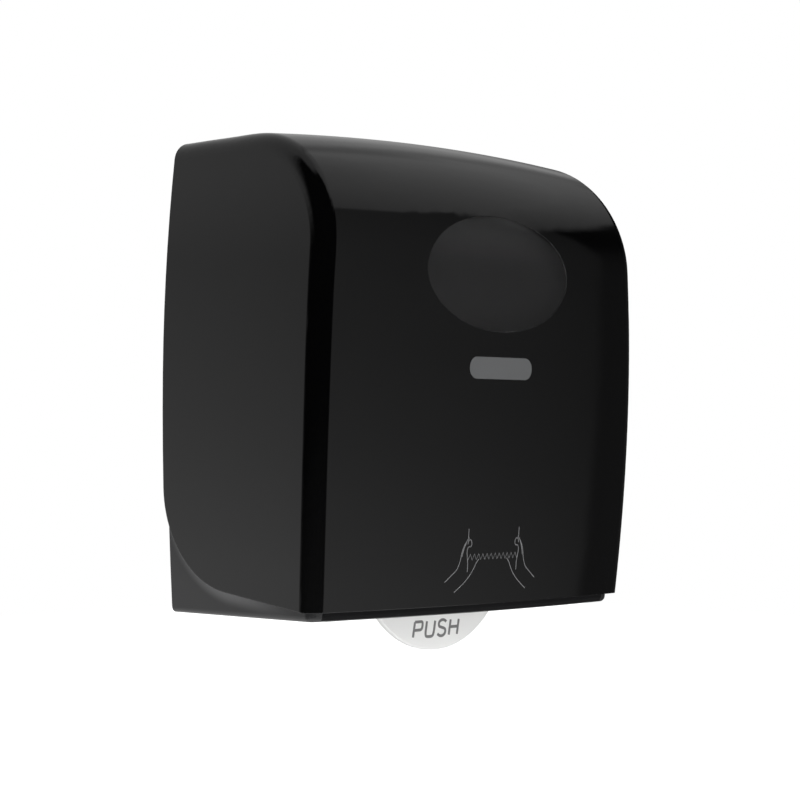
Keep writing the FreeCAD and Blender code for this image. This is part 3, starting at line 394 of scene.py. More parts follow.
@dataclass(frozen=True)
class Finish:
    """A surface of the dispenser.

    Attributes:
        name: the material's name.
        colour: base colour.
        roughness: middle roughness.
        spread: swing of the roughness.
        variation: swing of the colour, as a share.
        patch: width of the slow patches.
    """

    name: str
    colour: Colour
    roughness: float = 0.5
    spread: float = 0.06
    variation: float = 0.06
    patch: float = 60 * MM

    def build(self, effects: Effects) -> bpy.types.Material:
        """Makes the material.

        Args:
            effects: the shared groups.

        Returns:
            The material.
        """
        shader = Shader(self.name, effects)
        colour, roughness = shader.patches(self.colour, self.variation, self.patch, self.roughness,
                                           self.spread)
        self.paint(shader, colour, roughness)
        return shader.material

    def paint(self, shader: Shader, colour: Socket, roughness: Socket) -> None:
        """Sets the shader's inputs, each kind of finish in its own way.

        Args:
            shader: the material under way.
            colour: its colour with the slow patches.
            roughness: its roughness with the slow patches.
        """
        raise NotImplementedError

    def darker(self, share: float) -> Colour:
        """The colour at a share of its brightness."""
        return tuple(share * part for part in self.colour)


@dataclass(frozen=True)
class MouldedPlastic(Finish):
    """Injection moulded plastic, from gloss to fine texture.

    Attributes:
        grain: size of the texture's grains.
        grain_depth: depth of the texture.
        swell: height of the slow swell, in grain depths.
        swell_ratio: size of a grain, as a share of the swell's.
        wear: how far the handled edges take on their colour, which on the cover is a painted highlight.
        worn_colour: colour of the handled edges, on the cover a painted highlight.
        worn_reach: width of the handled edges.
        edge_round: radius at which edges catch the light.
    """

    grain: float = 0.7 * MM
    grain_depth: float = 0.01 * MM
    swell: float = 0.0
    swell_ratio: float = 0.04
    wear: float = 0.0
    worn_colour: Colour = (0.5, 0.5, 0.5)
    worn_reach: float = 0.6 * MM
    edge_round: float = 0.0

    def paint(self, shader: Shader, colour: Socket, roughness: Socket) -> None:
        """Lays texture and handled edges over the patches, as Finish.paint says."""
        colour = self.tone(shader, colour)
        # Handled edges, which on the cover are a painted highlight along its edges.
        if self.wear:
            edges = shader.group(shader.effects.edges, {
                "Vector": shader.place, "Reach": self.worn_reach, "Amount": self.wear})
            colour = shader.graph.blend(edges.outputs["Mask"], colour, self.worn_colour)
        height = shader.grain(1 / self.grain, self.swell_ratio / self.grain, self.swell)
        shader.bump(height, self.grain_depth, self.edge_round)
        shader.set(Base_Color=colour, Roughness=roughness, IOR=PLASTIC_IOR)

    def tone(self, shader: Shader, colour: Socket) -> Socket:
        """Paints light onto the colour from place to place, which plain plastic doesn't.

        Args:
            shader: the material under way.
            colour: its colour.

        Returns:
            The colour with its changes.
        """
        return colour


@dataclass(frozen=True)
class PaintedHighlightPlastic(MouldedPlastic):
    """The housing's plastic, with a painted highlight: paler in a soft band along the cover's slanted edge.

    Attributes:
        pale: colour of the painted highlight close to the cover's edge.
        reach: width of the band.
        fade_start: Y in front of which the band is gone.
        fade_end: Y behind which the band is full.
        lip: height of the edge's front end above the case's underside.
        lip_y: Y of that end.
        slope: angle of the edge's straight run, in degrees.
        radius: radius of the arc that follows it.
        centre_y: Y of the arc's centre.
    """

    pale: Colour = (0.17, 0.17, 0.173)
    reach: float = 11 * MM
    fade_start: float = -128 * MM
    fade_end: float = -62 * MM
    lip: float = 6.5 * MM
    lip_y: float = -139.9 * MM
    slope: float = 7.6
    radius: float = 70 * MM
    centre_y: float = -72.5 * MM

    def tone(self, shader: Shader, colour: Socket) -> Socket:
        """Paints a highlight: makes the colour paler near the cover's edge.

        Args:
            shader: the material under way.
            colour: its colour.

        Returns:
            The colour with its changes.
        """
        graph = shader.graph
        slope = math.radians(self.slope)
        rise = math.tan(slope)
        line_z = BASE_Z + self.lip - self.lip_y * rise
        centre_z = line_z + self.centre_y * rise + self.radius / math.cos(slope)
        arc_y = self.centre_y + self.radius * math.sin(slope)
        _, y, z = graph.split(shader.place)
        below = graph.maths("SUBTRACT", graph.maths("MULTIPLY_ADD", y, rise, line_z), z)
        sides = [graph.maths("SUBTRACT", way, centre) for way, centre in ((y, self.centre_y), (z, centre_z))]
        outside = graph.maths("SUBTRACT", graph.span(*sides), self.radius)
        away = graph.between(graph.maths("GREATER_THAN", y, arc_y), below, outside)
        near = graph.ramp(away, self.reach, 0.0, smooth=True)
        rear = graph.ramp(y, self.fade_start, self.fade_end, smooth=True)
        # Painted highlight: a paler band along the cover's slanted edge.
        return graph.blend(graph.maths("MULTIPLY", near, rear), colour, self.pale)


@dataclass(frozen=True)
class DrawnMetal(Finish):
    """Bright metal with fine lines along one way.

    Attributes:
        along: axis that the lines run along, 0 to 2.
        line_scale: scale of the lines across their way.
        run_scale: scale of the lines along their way.
        shades: two noise levels, and the shades that they give.
        depth: depth of the lines.
    """

    spread: float = 0.12
    variation: float = 0.12
    patch: float = 14 * MM
    along: int = 0
    line_scale: float = 1400.0
    run_scale: float = 30.0
    shades: tuple[float, float, float, float] = (0.3, 0.7, 0.86, 1.06)
    depth: float = 0.004 * MM

    def paint(self, shader: Shader, colour: Socket, roughness: Socket) -> None:
        """Draws the lines in height, shade and roughness, as Finish.paint says."""
        graph = shader.graph
        scales = [self.line_scale] * 3
        scales[self.along] = self.run_scale
        place = graph.node("VectorMath", {0: shader.place, 1: tuple(scales)}, operation="MULTIPLY").outputs[0]
        lines = graph.noise(place, 1.0, 3.0)
        colour = graph.shaded(colour, graph.ramp(lines, *self.shades))
        lower = graph.maths("SUBTRACT", roughness, self.spread / 2)
        roughness = graph.maths("MULTIPLY_ADD", lines, self.spread, lower)
        shader.bump(lines, self.depth)
        shader.set(Base_Color=colour, Roughness=roughness, Metallic=1.0)


@dataclass(frozen=True)
class SmokeGlazing(Finish):
    """Clear plastic whose colour is what one face lets through, with painted light: paler near its upper rim,
    standing in for the lit top of the roll behind.

    Attributes:
        pale_tint: painted light, what one face lets through at the upper rim.
        low: Z where the paler part with painted light begins.
        high: Z of the upper rim.
        wave_scale: scale of the faces' finest waves.
        swell_scale: scale of the slower waves.
        swell: height of the slower waves, in the finest.
        depth: depth of the finest waves.
    """

    spread: float = 0.03
    variation: float = 0.05
    patch: float = 40 * MM
    pale_tint: Colour = (0.2, 0.2, 0.205)
    low: float = BASE_Z + 235 * MM
    high: float = BASE_Z + 273 * MM
    wave_scale: float = 900.0
    swell_scale: float = 30.0
    swell: float = 6.0
    depth: float = 0.0006 * MM

    def paint(self, shader: Shader, colour: Socket, roughness: Socket) -> None:
        """Tints the glass, paints light into its upper part, and gives its faces a slight wave, as
        Finish.paint says.
        """
        # Painted light: the tint grows paler towards the upper rim.
        upper = shader.graph.ramp(shader.graph.split(shader.place)[2], self.low, self.high, smooth=True)
        colour = shader.graph.blend(upper, colour, self.pale_tint)
        shader.bump(shader.grain(self.wave_scale, self.swell_scale, self.swell), self.depth)
        shader.set(Base_Color=colour, Roughness=roughness, IOR=PLASTIC_IOR, Transmission_Weight=1.0)


@dataclass(frozen=True)
class Tissue(Finish):
    """Embossed paper wound on a roll, with its turns on the two ends.

    Attributes:
        turn: spacing of the turns that show.
        stray: how many turns a turn strays.
        stray_scale: scale of the straying.
        emboss: spacing of the embossed dots.
        dot_levels: levels between which a dot rises.
        end_cosines: cosine to X where a face starts to count as an end, and where it counts fully.
        turn_height: height of a turn on the ends, in dots.
        fibre_height: height of the fibres, in dots.
        fibre_scale: scale of the fibres.
        gap_share: brightness of the painted shade between two turns, as a share.
        depth: depth of a dot.
        sheen: strength of the paper's sheen.
    """

    roughness: float = 0.92
    spread: float = 0.0
    variation: float = 0.035
    patch: float = 35 * MM
    turn: float = 0.9 * MM
    stray: float = 1.6
    stray_scale: float = 55.0
    emboss: float = 3.2 * MM
    dot_levels: Point = (-0.2, 0.8)
    end_cosines: Point = (0.5, 0.9)
    turn_height: float = 2.6
    fibre_height: float = 0.5
    fibre_scale: float = 1500.0
    gap_share: float = 0.72
    depth: float = 0.12 * MM
    sheen: float = 0.15

    def paint(self, shader: Shader, colour: Socket, roughness: Socket) -> None:
        """Embosses the paper and draws its turns with painted shade between them, as Finish.paint says, at
        one plain roughness.
        """
        graph = shader.graph
        x, y, z = shader.from_roll()
        radius = graph.span(y, z)
        stray = graph.noise(shader.place, self.stray_scale)
        turns = graph.maths("MULTIPLY_ADD", stray, self.stray, graph.maths("DIVIDE", radius, self.turn))
        ridge = graph.maths("PINGPONG", turns, 0.5)
        around = graph.maths("MULTIPLY", graph.maths("ARCTAN2", y, z), radius)
        wave = math.tau / self.emboss
        waves = [graph.maths("SINE", graph.maths("MULTIPLY", way, wave)) for way in (around, x)]
        dots = graph.ramp(graph.maths("MULTIPLY", *waves), *self.dot_levels, smooth=True)
        facing = graph.split(graph.node("NewGeometry").outputs["Normal"])[0]
        on_end = graph.ramp(graph.maths("ABSOLUTE", facing), *self.end_cosines)
        fibre = graph.maths("MULTIPLY", graph.noise(shader.place, self.fibre_scale, 4.0), self.fibre_height)
        end_height = graph.maths("MULTIPLY_ADD", ridge, self.turn_height, fibre)
        shader.bump(graph.between(on_end, graph.maths("ADD", dots, fibre), end_height), self.depth)
        # Painted shade between the turns on the roll's ends.
        gap = graph.maths("MULTIPLY", graph.ramp(ridge, 0.0, 0.5, 1.0, 0.0), on_end)
        colour = graph.blend(gap, colour, self.darker(self.gap_share))
        shader.set(Base_Color=colour, Roughness=self.roughness, Sheen_Weight=self.sheen)


@dataclass(frozen=True)
class WoundBoard(Finish):
    """Card wound in a spiral.

    Attributes:
        pitch: turns of the spiral in a metre.
        seam: width of half a seam, as a share of a turn.
        seam_height: height of the card over its seam, in fibres.
        seam_share: brightness of the seam, as a share.
        fibre_scale: scale of the fibres.
        depth: depth of the fibres.
    """

    roughness: float = 0.85
    spread: float = 0.1
    variation: float = 0.12
    patch: float = 8 * MM
    pitch: float = 14.0
    seam: float = 0.03
    seam_height: float = 1.2
    seam_share: float = 0.45
    fibre_scale: float = 900.0
    depth: float = 0.06 * MM

    def paint(self, shader: Shader, colour: Socket, roughness: Socket) -> None:
        """Draws the spiral seam and the fibres, as Finish.paint says."""
        graph = shader.graph
        x, y, z = shader.from_roll()
        turn = graph.maths("DIVIDE", graph.maths("ARCTAN2", y, z), math.tau)
        spiral = graph.maths("FRACT", graph.maths("MULTIPLY_ADD", x, self.pitch, turn))
        sides = [graph.ramp(spiral, 0.0, self.seam), graph.ramp(spiral, 1.0, 1 - self.seam)]
        card = graph.maths("MULTIPLY", *sides)
        fibre = graph.noise(shader.place, self.fibre_scale, 5.0)
        colour = graph.blend(graph.maths("SUBTRACT", 1.0, card), colour, self.darker(self.seam_share))
        shader.bump(graph.maths("MULTIPLY_ADD", card, self.seam_height, fibre), self.depth)
        shader.set(Base_Color=colour, Roughness=roughness)


@dataclass(frozen=True)
class GripRubber(Finish):
    """Matt rubber with fine ribs across the way of feed.

    Attributes:
        rib: spacing of the ribs along X.
        rib_height: height of the ribs, in depths of dust.
        depth: depth of the dust.
        dust: how much dust shows.
        dust_colour: colour of the dust.
        dust_scale: scale of the dust.
        dust_levels: noise levels between which the dust sets in.
        shine: strength of the surface's gloss.
    """

    roughness: float = 0.78
    spread: float = 0.12
    variation: float = 0.2
    patch: float = 12 * MM
    rib: float = 1.0 * MM
    rib_height: float = 2.0
    depth: float = 0.12 * MM
    dust: float = 0.25
    dust_colour: Colour = (0.28, 0.27, 0.26)
    dust_scale: float = 260.0
    dust_levels: Point = (0.52, 0.75)
    shine: float = 0.5

    def paint(self, shader: Shader, colour: Socket, roughness: Socket) -> None:
        """Gives the rubber its ribs and dust, as Finish.paint says."""
        graph = shader.graph
        ribs = graph.maths("PINGPONG", graph.maths("DIVIDE", graph.split(shader.place)[0], self.rib), 0.5)
        dust = graph.noise(shader.place, self.dust_scale, 5.0)
        colour = graph.blend(graph.ramp(dust, *self.dust_levels, 0.0, self.dust), colour, self.dust_colour)
        shader.bump(graph.maths("MULTIPLY_ADD", ribs, self.rib_height, dust), self.depth)
        shader.set(Base_Color=colour, Roughness=roughness, Specular_IOR_Level=self.shine)


@dataclass(frozen=True)
class Ink(Finish):
    """Screen printed ink with a slightly uneven lay.

    Attributes:
        mesh_scale: scale of the screen's mesh.
        lay_scale: scale of the uneven lay.
        depth: depth of both.
    """

    roughness: float = 0.45
    spread: float = 0.1
    variation: float = 0.1
    patch: float = 3 * MM
    mesh_scale: float = 5000.0
    lay_scale: float = 900.0
    depth: float = 0.004 * MM

    def paint(self, shader: Shader, colour: Socket, roughness: Socket) -> None:
        """Lays the ink, as Finish.paint says."""
        shader.bump(shader.grain(self.mesh_scale, self.lay_scale, 1.0), self.depth)
        shader.set(Base_Color=colour, Roughness=roughness)


class Finishes(Enum):
    """The finish of each material slot in the record, by the slot's name."""

    # The cover's pale edges are a painted highlight, laid with the edge mask.
    cover_black = MouldedPlastic("gloss_black", (0.0007, 0.0007, 0.0008), 0.075, 0.02, 0.1, grain=0.5 * MM,
                                 grain_depth=0.0006 * MM, swell=5.0, wear=0.9,
                                 worn_colour=(0.08, 0.08, 0.082), edge_round=0.9 * MM)
    window_smoke = SmokeGlazing("smoke_window", (0.105, 0.105, 0.108), 0.06)
    label_grey = MouldedPlastic("plate_grey", (0.098, 0.1, 0.102), 0.34, grain=0.25 * MM,
                                grain_depth=0.003 * MM)
    # The housing's paler band along the cover's edge is a painted highlight.
    housing_black = PaintedHighlightPlastic("satin_black", (0.026, 0.026, 0.027), 0.3, grain=0.6 * MM,
                                  grain_depth=0.008 * MM, wear=0.25, worn_colour=(0.05, 0.05, 0.052))
    lever_white = MouldedPlastic("lever_white", (0.90, 0.90, 0.89), 0.32, 0.05, 0.02, grain=0.8 * MM,
                                 grain_depth=0.006 * MM)
    module_grey = MouldedPlastic("module_grey", (0.055, 0.057, 0.062), 0.5, 0.08, 0.1, grain=0.55 * MM,
                                 grain_depth=0.03 * MM, wear=0.35, worn_colour=(0.22, 0.22, 0.23))
    drum_grey = MouldedPlastic("drum_grey", (0.30, 0.31, 0.32), 0.42, 0.08, 0.08, grain=0.7 * MM,
                               grain_depth=0.02 * MM, wear=0.3, worn_colour=(0.55, 0.55, 0.55))
    grip_rubber = GripRubber("grip_rubber", (0.02, 0.02, 0.021))
    gear_white = MouldedPlastic("gear_white", (0.70, 0.68, 0.62), 0.36, 0.06, 0.05, grain=0.9 * MM,
                                grain_depth=0.008 * MM)
    steel = DrawnMetal("bright_steel", (0.56, 0.57, 0.58), 0.28)
    blade_steel = DrawnMetal("blade_steel", (0.62, 0.62, 0.63), 0.22, along=1)
    paper = Tissue("tissue", (0.84, 0.83, 0.80))
    card = WoundBoard("card", (0.36, 0.25, 0.15))
    hub_blue = MouldedPlastic("hub_blue", (0.02, 0.09, 0.30), 0.38, 0.06, 0.06, grain=0.7 * MM,
                              grain_depth=0.015 * MM, wear=0.3, worn_colour=(0.2, 0.3, 0.5))


class Added(Enum):
    """The finishes of the pieces that are made here."""

    symbol = Ink("symbol_ink", (0.19, 0.19, 0.195))
    lettering = Ink("lettering_ink", (0.2, 0.2, 0.2))
    # A dark strip of painted shade under the cover's rim.
    lip = GripRubber("painted_shade_rubber", (0.009, 0.009, 0.0095), rib=2.2 * MM, depth=0.02 * MM, dust=0.0,
                     shine=0.12)


# Marks drawn with strokes


@dataclass(frozen=True)
class Stroke:
    """A line of a printed mark.

    Attributes:
        points: its points (x, height above the case's underside) in millimetres.
        smooth: whether the line is rounded through its points.
    """

    points: Sequence[Point]
    smooth: bool = True

    def mirrored(self) -> "Stroke":
        """The same stroke on the other side of the middle."""
        return Stroke([(-x, h) for x, h in self.points], self.smooth)


@dataclass
class Mark:
    """A mark printed on a face that looks to the front.

    Attributes:
        name: the piece's name.
        strokes: its lines.
        width: width of a line.
        body: the body that it rides on.
        ink: its ink.
        slot: the record's slot that it belongs to.
        proud: how far the ink stands out.
        sink: how far its underside lies in the face.
        roundness: resolution of a line's section.
        steps: cells between two points of a line.
        longest: length, in line widths, past which a cell is divided.
        cuts: how many times it is divided.
    """

    name: str
    strokes: Sequence[Stroke]
    width: float
    body: str
    # slot: the record's slot that it belongs to; not used.
    ink: Added
    slot: str
    proud: float = 0.05 * MM
    sink: float = 0.05 * MM
    roundness: int = 2
    steps: int = 8
    longest: float = 4.0
    cuts: int = 3

    def build(self, face: Callable[[float, float], float], effects: Effects) -> None:
        """Draws the mark on its face.

        Args:
            face: gives the face's Y at an X and Z.
            effects: the shared groups.
        """
        curve = bpy.data.curves.new(self.name, "CURVE")
        curve.dimensions = "3D"
        curve.bevel_depth = self.width / 2
        curve.bevel_resolution = self.roundness
        curve.resolution_u = self.steps
        curve.use_fill_caps = True
        for stroke in self.strokes:
            spline = curve.splines.new("NURBS" if stroke.smooth else "POLY")
            spline.points.add(len(stroke.points) - 1)
            for point, (x, h) in zip(spline.points, stroke.points):
                point.co = (x * MM, 0.0, BASE_Z + h * MM, 1.0)
            if stroke.smooth:
                spline.order_u = 3
                spline.use_endpoint_u = True
        drawn = bpy.data.objects.new(self.name + "_line", curve)
        bpy.context.scene.collection.objects.link(drawn)
        mesh = bpy.data.meshes.new_from_object(drawn.evaluated_get(bpy.context.evaluated_depsgraph_get()))
        bpy.data.objects.remove(drawn)
        bm = bmesh.new()
        bm.from_mesh(mesh)
        long_edges = [edge for edge in bm.edges if edge.calc_length() > self.longest * self.width]
        bmesh.ops.subdivide_edges(bm, edges=long_edges, cuts=self.cuts)
        for vert in bm.verts:
            share = vert.co.y / (self.width / 2)
            lift = self.proud if share < 0 else self.sink
            vert.co.y = face(vert.co.x, vert.co.z) + lift * max(-1.0, min(1.0, share))
        bmesh.ops.recalc_face_normals(bm, faces=bm.faces)
        bm.to_mesh(mesh)
        bm.free()
        place_piece(self.name, mesh, self.ink.value.build(effects), self.body)


def place_piece(name: str, mesh: bpy.types.Mesh, material: bpy.types.Material, body: str) -> None:
    """Puts a finished mesh into the scene.

    Args:
        name: the piece's name.
        mesh: its mesh, in place.
        material: its material.
        body: the body that it rides on.
    """
    mesh.materials.clear()
    mesh.materials.append(material)
    piece = bpy.data.objects.new(name, mesh)
    bpy.context.scene.collection.objects.link(piece)
    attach(piece, body)
    LOG.info("%s: %d faces on %s", name, len(mesh.polygons), body)


# Sub-assemblies


@dataclass
class Cover:
    """The printed symbol on the glossy cover.

    Attributes:
        line_width: width of the symbol's lines.
        sheet_half: half the width of the drawn sheet's torn edge, in millimetres.
        teeth: points of the torn edge.
        edge_height: height of the torn edge above the case's underside, in millimetres.
        tooth: half the height of a point, in millimetres.
    """

    line_width: float = 0.6 * MM
    sheet_half: float = 24.5
    teeth: int = 12
    edge_height: float = 39.2
    tooth: float = 2.0

    def hand(self) -> list[Stroke]:
        """The strokes of the right hand that holds the sheet."""
        return [
            Stroke([(24.4, 52.5), (28.0, 48.5), (30.6, 43.0), (31.4, 37.5), (33.6, 31.5), (38.0, 28.0),
                    (45.0, 22.8)]),
            Stroke([(27.0, 49.0), (29.4, 44.5), (30.2, 39.5)]),
            Stroke([(14.0, 37.5), (16.5, 35.0), (18.2, 31.5), (22.5, 25.5), (29.0, 20.0), (35.6, 15.6)]),
            Stroke([(25.6, 40.5), (26.0, 44.0), (24.6, 46.5), (22.2, 46.0), (21.4, 48.8), (22.8, 51.4),
                    (25.2, 50.6), (25.4, 48.0)]),
            Stroke([(25.6, 41.5), (25.0, 37.5), (24.2, 34.0), (24.4, 29.0)]),
            Stroke([(25.2, 52.2), (25.2, 58.6)], smooth=False),
        ]

    def torn_edge(self) -> Stroke:
        """The zigzag of the sheet between the hands."""
        steps = 2 * self.teeth
        points = []
        for i in range(steps + 1):
            x = self.sheet_half * (2 * i / steps - 1)
            points.append((x, self.edge_height + (self.tooth if i % 2 else -self.tooth)))
        return Stroke(points, smooth=False)

    def build(self, frame: dict, effects: Effects) -> None:
        """Prints the symbol.

        Args:
            frame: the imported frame.
            effects: the shared groups.
        """
        strokes = self.hand()
        strokes += [stroke.mirrored() for stroke in strokes]
        strokes.append(self.torn_edge())
        mark = Mark("tear_symbol", strokes, self.line_width, "cover", Added.symbol, "label_grey")
        mark.build(front_face(frame["nodes"]["cover_shell"]), effects)


@dataclass
class ShadeStrip:
    """A soft dark strip of painted shade along the housing's front, under the cover's rim, where the rim
    shades it.

    Attributes:
        half: half its length.
        low: height of its lower edge above the case's underside.
        high: height of its upper edge above the case's underside.
        proud: how far it stands out of the housing.
        sink: how far its back lies in the housing.
        steps: cells along it.
        rows: cells up it.
    """

    half: float = 139 * MM
    low: float = 0.9 * MM
    high: float = 8.0 * MM
    proud: float = 0.35 * MM
    sink: float = 0.1 * MM
    steps: int = 64
    rows: int = 3

    def build(self, frame: dict, effects: Effects) -> None:
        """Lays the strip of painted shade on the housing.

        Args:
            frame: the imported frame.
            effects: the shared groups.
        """
        face = front_face(frame["nodes"]["rear_housing"])
        bm = bmesh.new()
        bmesh.ops.create_grid(bm, x_segments=self.steps, y_segments=self.rows, size=1.0)
        for vert in bm.verts:
            x = self.half * vert.co.x
            z = BASE_Z + self.low + (self.high - self.low) * (vert.co.y + 1) / 2
            vert.co = (x, face(x, z) - self.proud, z)
        sides = bmesh.ops.extrude_face_region(bm, geom=bm.faces[:])
        for vert in (item for item in sides["geom"] if isinstance(item, bmesh.types.BMVert)):
            vert.co.y += self.proud + self.sink
        bmesh.ops.recalc_face_normals(bm, faces=bm.faces)
        mesh = bpy.data.meshes.new("front_painted_shade")
        bm.to_mesh(mesh)
        bm.free()
        place_piece("front_painted_shade", mesh, Added.lip.value.build(effects), "housing")


@dataclass
class Lever:
    """The lettering on the push lever.

    Attributes:
        line_width: width of the letters' lines.
        low: height of the letters' feet above the case's underside, in millimetres.
        tall: height of the letters, in millimetres.
        wide: width of a letter, in millimetres.
        gap: space between letters, in millimetres.
        slant: how far a letter leans to the right, as a share of its height.
    """

    line_width: float = 2.05 * MM
    low: float = -18.6
    tall: float = 10.6
    wide: float = 8.2
    gap: float = 3.7
    slant: float = 0.19

    def letters(self) -> list[list[Stroke]]:
        """The strokes of P, U, S and H on a unit field, each from its lower left corner."""
        straight, curved = False, True
        return [
            [Stroke([(0.0, 0.0), (0.0, 1.0)], straight),
             Stroke([(0.0, 1.0), (0.55, 1.0), (0.92, 1.0), (0.98, 0.74), (0.92, 0.47), (0.55, 0.46),
                     (0.0, 0.46)], curved)],
            [Stroke([(0.0, 1.0), (0.0, 0.55), (0.0, 0.25), (0.08, 0.0), (0.5, -0.03), (0.92, 0.0),
                     (1.0, 0.25), (1.0, 0.55), (1.0, 1.0)], curved)],
            [Stroke([(0.93, 0.88), (0.72, 1.02), (0.3, 1.03), (0.04, 0.88), (0.08, 0.6), (0.5, 0.52),
                     (0.94, 0.42), (0.97, 0.12), (0.7, -0.04), (0.28, -0.03), (0.02, 0.12)], curved)],
            [Stroke([(0.0, 0.0), (0.0, 1.0)], straight), Stroke([(1.0, 0.0), (1.0, 1.0)], straight),
             Stroke([(0.0, 0.52), (1.0, 0.52)], straight)],
        ]

    def build(self, frame: dict, effects: Effects) -> None:
        """Prints the lettering.

        Args:
            frame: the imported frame.
            effects: the shared groups.
        """
        letters = self.letters()
        span = len(letters) * self.wide + (len(letters) - 1) * self.gap
        lean = self.slant * self.tall
        strokes = []
        for i, letter in enumerate(letters):
            left = -span / 2 + i * (self.wide + self.gap)
            for stroke in letter:
                points = [(left + x * self.wide + (h - 0.5) * lean, self.low + h * self.tall)
                          for x, h in stroke.points]
                strokes.append(Stroke(points, stroke.smooth))
        mark = Mark("push_lettering", strokes, self.line_width, "push_lever", Added.lettering, "label_grey")
        mark.build(front_face(frame["nodes"]["push_lever"]), effects)


def front_face(node: bpy.types.Object) -> Callable[[float, float], float]:
    """A finder for the Y of a node's front face.

    Args:
        node: the node's object.

    Returns:
        A function of X and Z that gives Y.
    """
    mesh = node.data
    tree = BVHTree.FromPolygons([v.co for v in mesh.vertices], [tuple(p.vertices) for p in mesh.polygons])

    def face(x: float, z: float) -> float:
        """Y of the face at X and Z."""
        hit = tree.ray_cast(Vector((x, -1.0, z)), Vector((0.0, 1.0, 0.0)))[0]
        if hit is None:
            raise ValueError(f"the mark leaves its face at {x:.4f}, {z:.4f}")
        return hit.y

    return face


# Studio


def direction(azimuth: float, elevation: float) -> Vector:
    """The way from the object to a place round it.

    Args:
        azimuth: degrees, 0 in front and 90 on the right.
        elevation: degrees above the horizon.

    Returns:
        A step of length 1.
    """
    turn, rise = math.radians(azimuth), math.radians(elevation)
    return Vector((math.sin(turn) * math.cos(rise), -math.cos(turn) * math.cos(rise), math.sin(rise)))


def seen_mask(graph: Graph) -> Socket:
    """A mask for what the camera sees, also through the window."""
    path = graph.node("LightPath")
    return graph.maths("MAXIMUM", path.outputs["Is Camera Ray"], path.outputs["Is Transmission Ray"])


@dataclass(frozen=True)
class Board:
    """A lit or dark board round the object, as its gloss sees it, in degrees.

    Attributes:
        start: azimuth of its left edge, 0 in front and 90 on the right.
        end: azimuth of its right edge.
        low: elevation of its lower edge.
        high: elevation of its upper edge.
        levels: brightness at rising elevations, with straight lines between them.
        soft: softness of its left, right, lower and upper edge.
        fade: share of its brightness that is left at its right edge.
        lean: azimuth that its left edge gains with the square of the elevation in tens of degrees.
        right_lean: azimuth that its right edge gains with each ten degrees of elevation.
    """

    start: float
    end: float
    low: float
    high: float
    levels: Sequence[Point]
    soft: tuple[float, float, float, float]
    fade: float = 1.0
    lean: float = 0.0
    right_lean: float = 0.0

    def over(self, graph: Graph, azimuth: Socket, elevation: Socket, behind: object) -> Socket:
        """Lays the board over what lies behind it.

        Args:
            graph: the world's graph.
            azimuth: the ray's azimuth in degrees.
            elevation: the ray's elevation in degrees.
            behind: brightness before this board.

        Returns:
            The brightness with the board.
        """
        middle = (self.start + self.end) / 2
        half = (self.end - self.start) / 2
        turned = graph.maths("WRAP", graph.maths("SUBTRACT", azimuth, middle), 180.0, -180.0)
        tens = graph.maths("DIVIDE", elevation, 10.0)
        square = graph.maths("MULTIPLY", tens, graph.maths("ABSOLUTE", tens))
        start = graph.maths("SUBTRACT", turned, graph.maths("MULTIPLY", square, self.lean))
        stop = graph.maths("SUBTRACT", turned, graph.maths("MULTIPLY", tens, self.right_lean))
        left, right, lower, upper = self.soft
        edges = [(elevation, self.low - lower, self.low + lower),
                 (elevation, self.high + upper, self.high - upper)]
        if half < 180:
            edges += [(start, -half - left, -half + left), (stop, half + right, half - right)]
        mask = 1.0
        for way, out, full in edges:
            mask = graph.maths("MULTIPLY", mask, graph.ramp(way, out, full, smooth=True))
        bright = self.levels[0][1]
        for (low, first), (high, last) in zip(self.levels, self.levels[1:]):
            bright = graph.maths("ADD", graph.ramp(elevation, low, high, 0.0, last - first), bright)
        bright = graph.maths("MULTIPLY", graph.ramp(turned, -half, half, 1.0, self.fade), bright)
        return graph.between(mask, behind, bright)


@dataclass(frozen=True)
class Lamp:
    """A soft square lamp that points at the origin.

    Attributes:
        name: its name.
        azimuth: degrees, 0 in front and 90 on the right.
        elevation: degrees above the horizon.
        distance: how far it hangs from the origin.
        side: length of its side.
        power: its power in watts.
    """

    name: str
    azimuth: float
    elevation: float
    distance: float
    side: float
    power: float

    def build(self) -> None:
        """Hangs the lamp, hidden from gloss."""
        lamp = bpy.data.lights.new(self.name, "AREA")
        lamp.size = self.side
        lamp.energy = self.power
        holder = bpy.data.objects.new(self.name, lamp)
        away = direction(self.azimuth, self.elevation)
        holder.location = away * self.distance
        holder.rotation_euler = away.to_track_quat("Z", "Y").to_euler()
        holder.visible_glossy = False
        bpy.context.scene.collection.objects.link(holder)


@dataclass(frozen=True)
class View:
    """The camera at the photograph's place.

    Attributes:
        azimuth: degrees, 0 in front and 90 on the right.
        elevation: degrees above the horizon.
        distance: how far it stands from its centre.
        centre: the point that it turns round.
        side: the picture's side in pixels.
        focal: focal length in pixels.
        shift: how far the picture moves to the right and up, in pixels.
        film: width of the film in millimetres.
        reach: how far it sees.
    """

    azimuth: float = -44.96
    elevation: float = -1.82
    distance: float = 1.6182
    centre: tuple[float, float, float] = (0.0, -90 * MM, 0.0)
    side: float = 800.0
    focal: float = 2272.0
    shift: Point = (-17.1, -25.2)
    film: float = 36.0
    reach: float = 60.0

    def build(self) -> None:
        """Sets the camera up and makes it the scene's."""
        back = direction(self.azimuth, self.elevation)
        turn = math.radians(self.azimuth)
        right = Vector((math.cos(turn), math.sin(turn), 0.0))
        data = bpy.data.cameras.new("camera")
        data.sensor_width = self.film
        data.lens = self.film * self.focal / self.side
        data.shift_x, data.shift_y = (pixels / self.side for pixels in self.shift)
        data.clip_end = self.reach
        camera = bpy.data.objects.new("camera", data)
        axes = Matrix((right, back.cross(right), back)).transposed().to_4x4()
        camera.matrix_world = Matrix.Translation(Vector(self.centre) + back * self.distance) @ axes
        bpy.context.scene.collection.objects.link(camera)
        bpy.context.scene.camera = camera


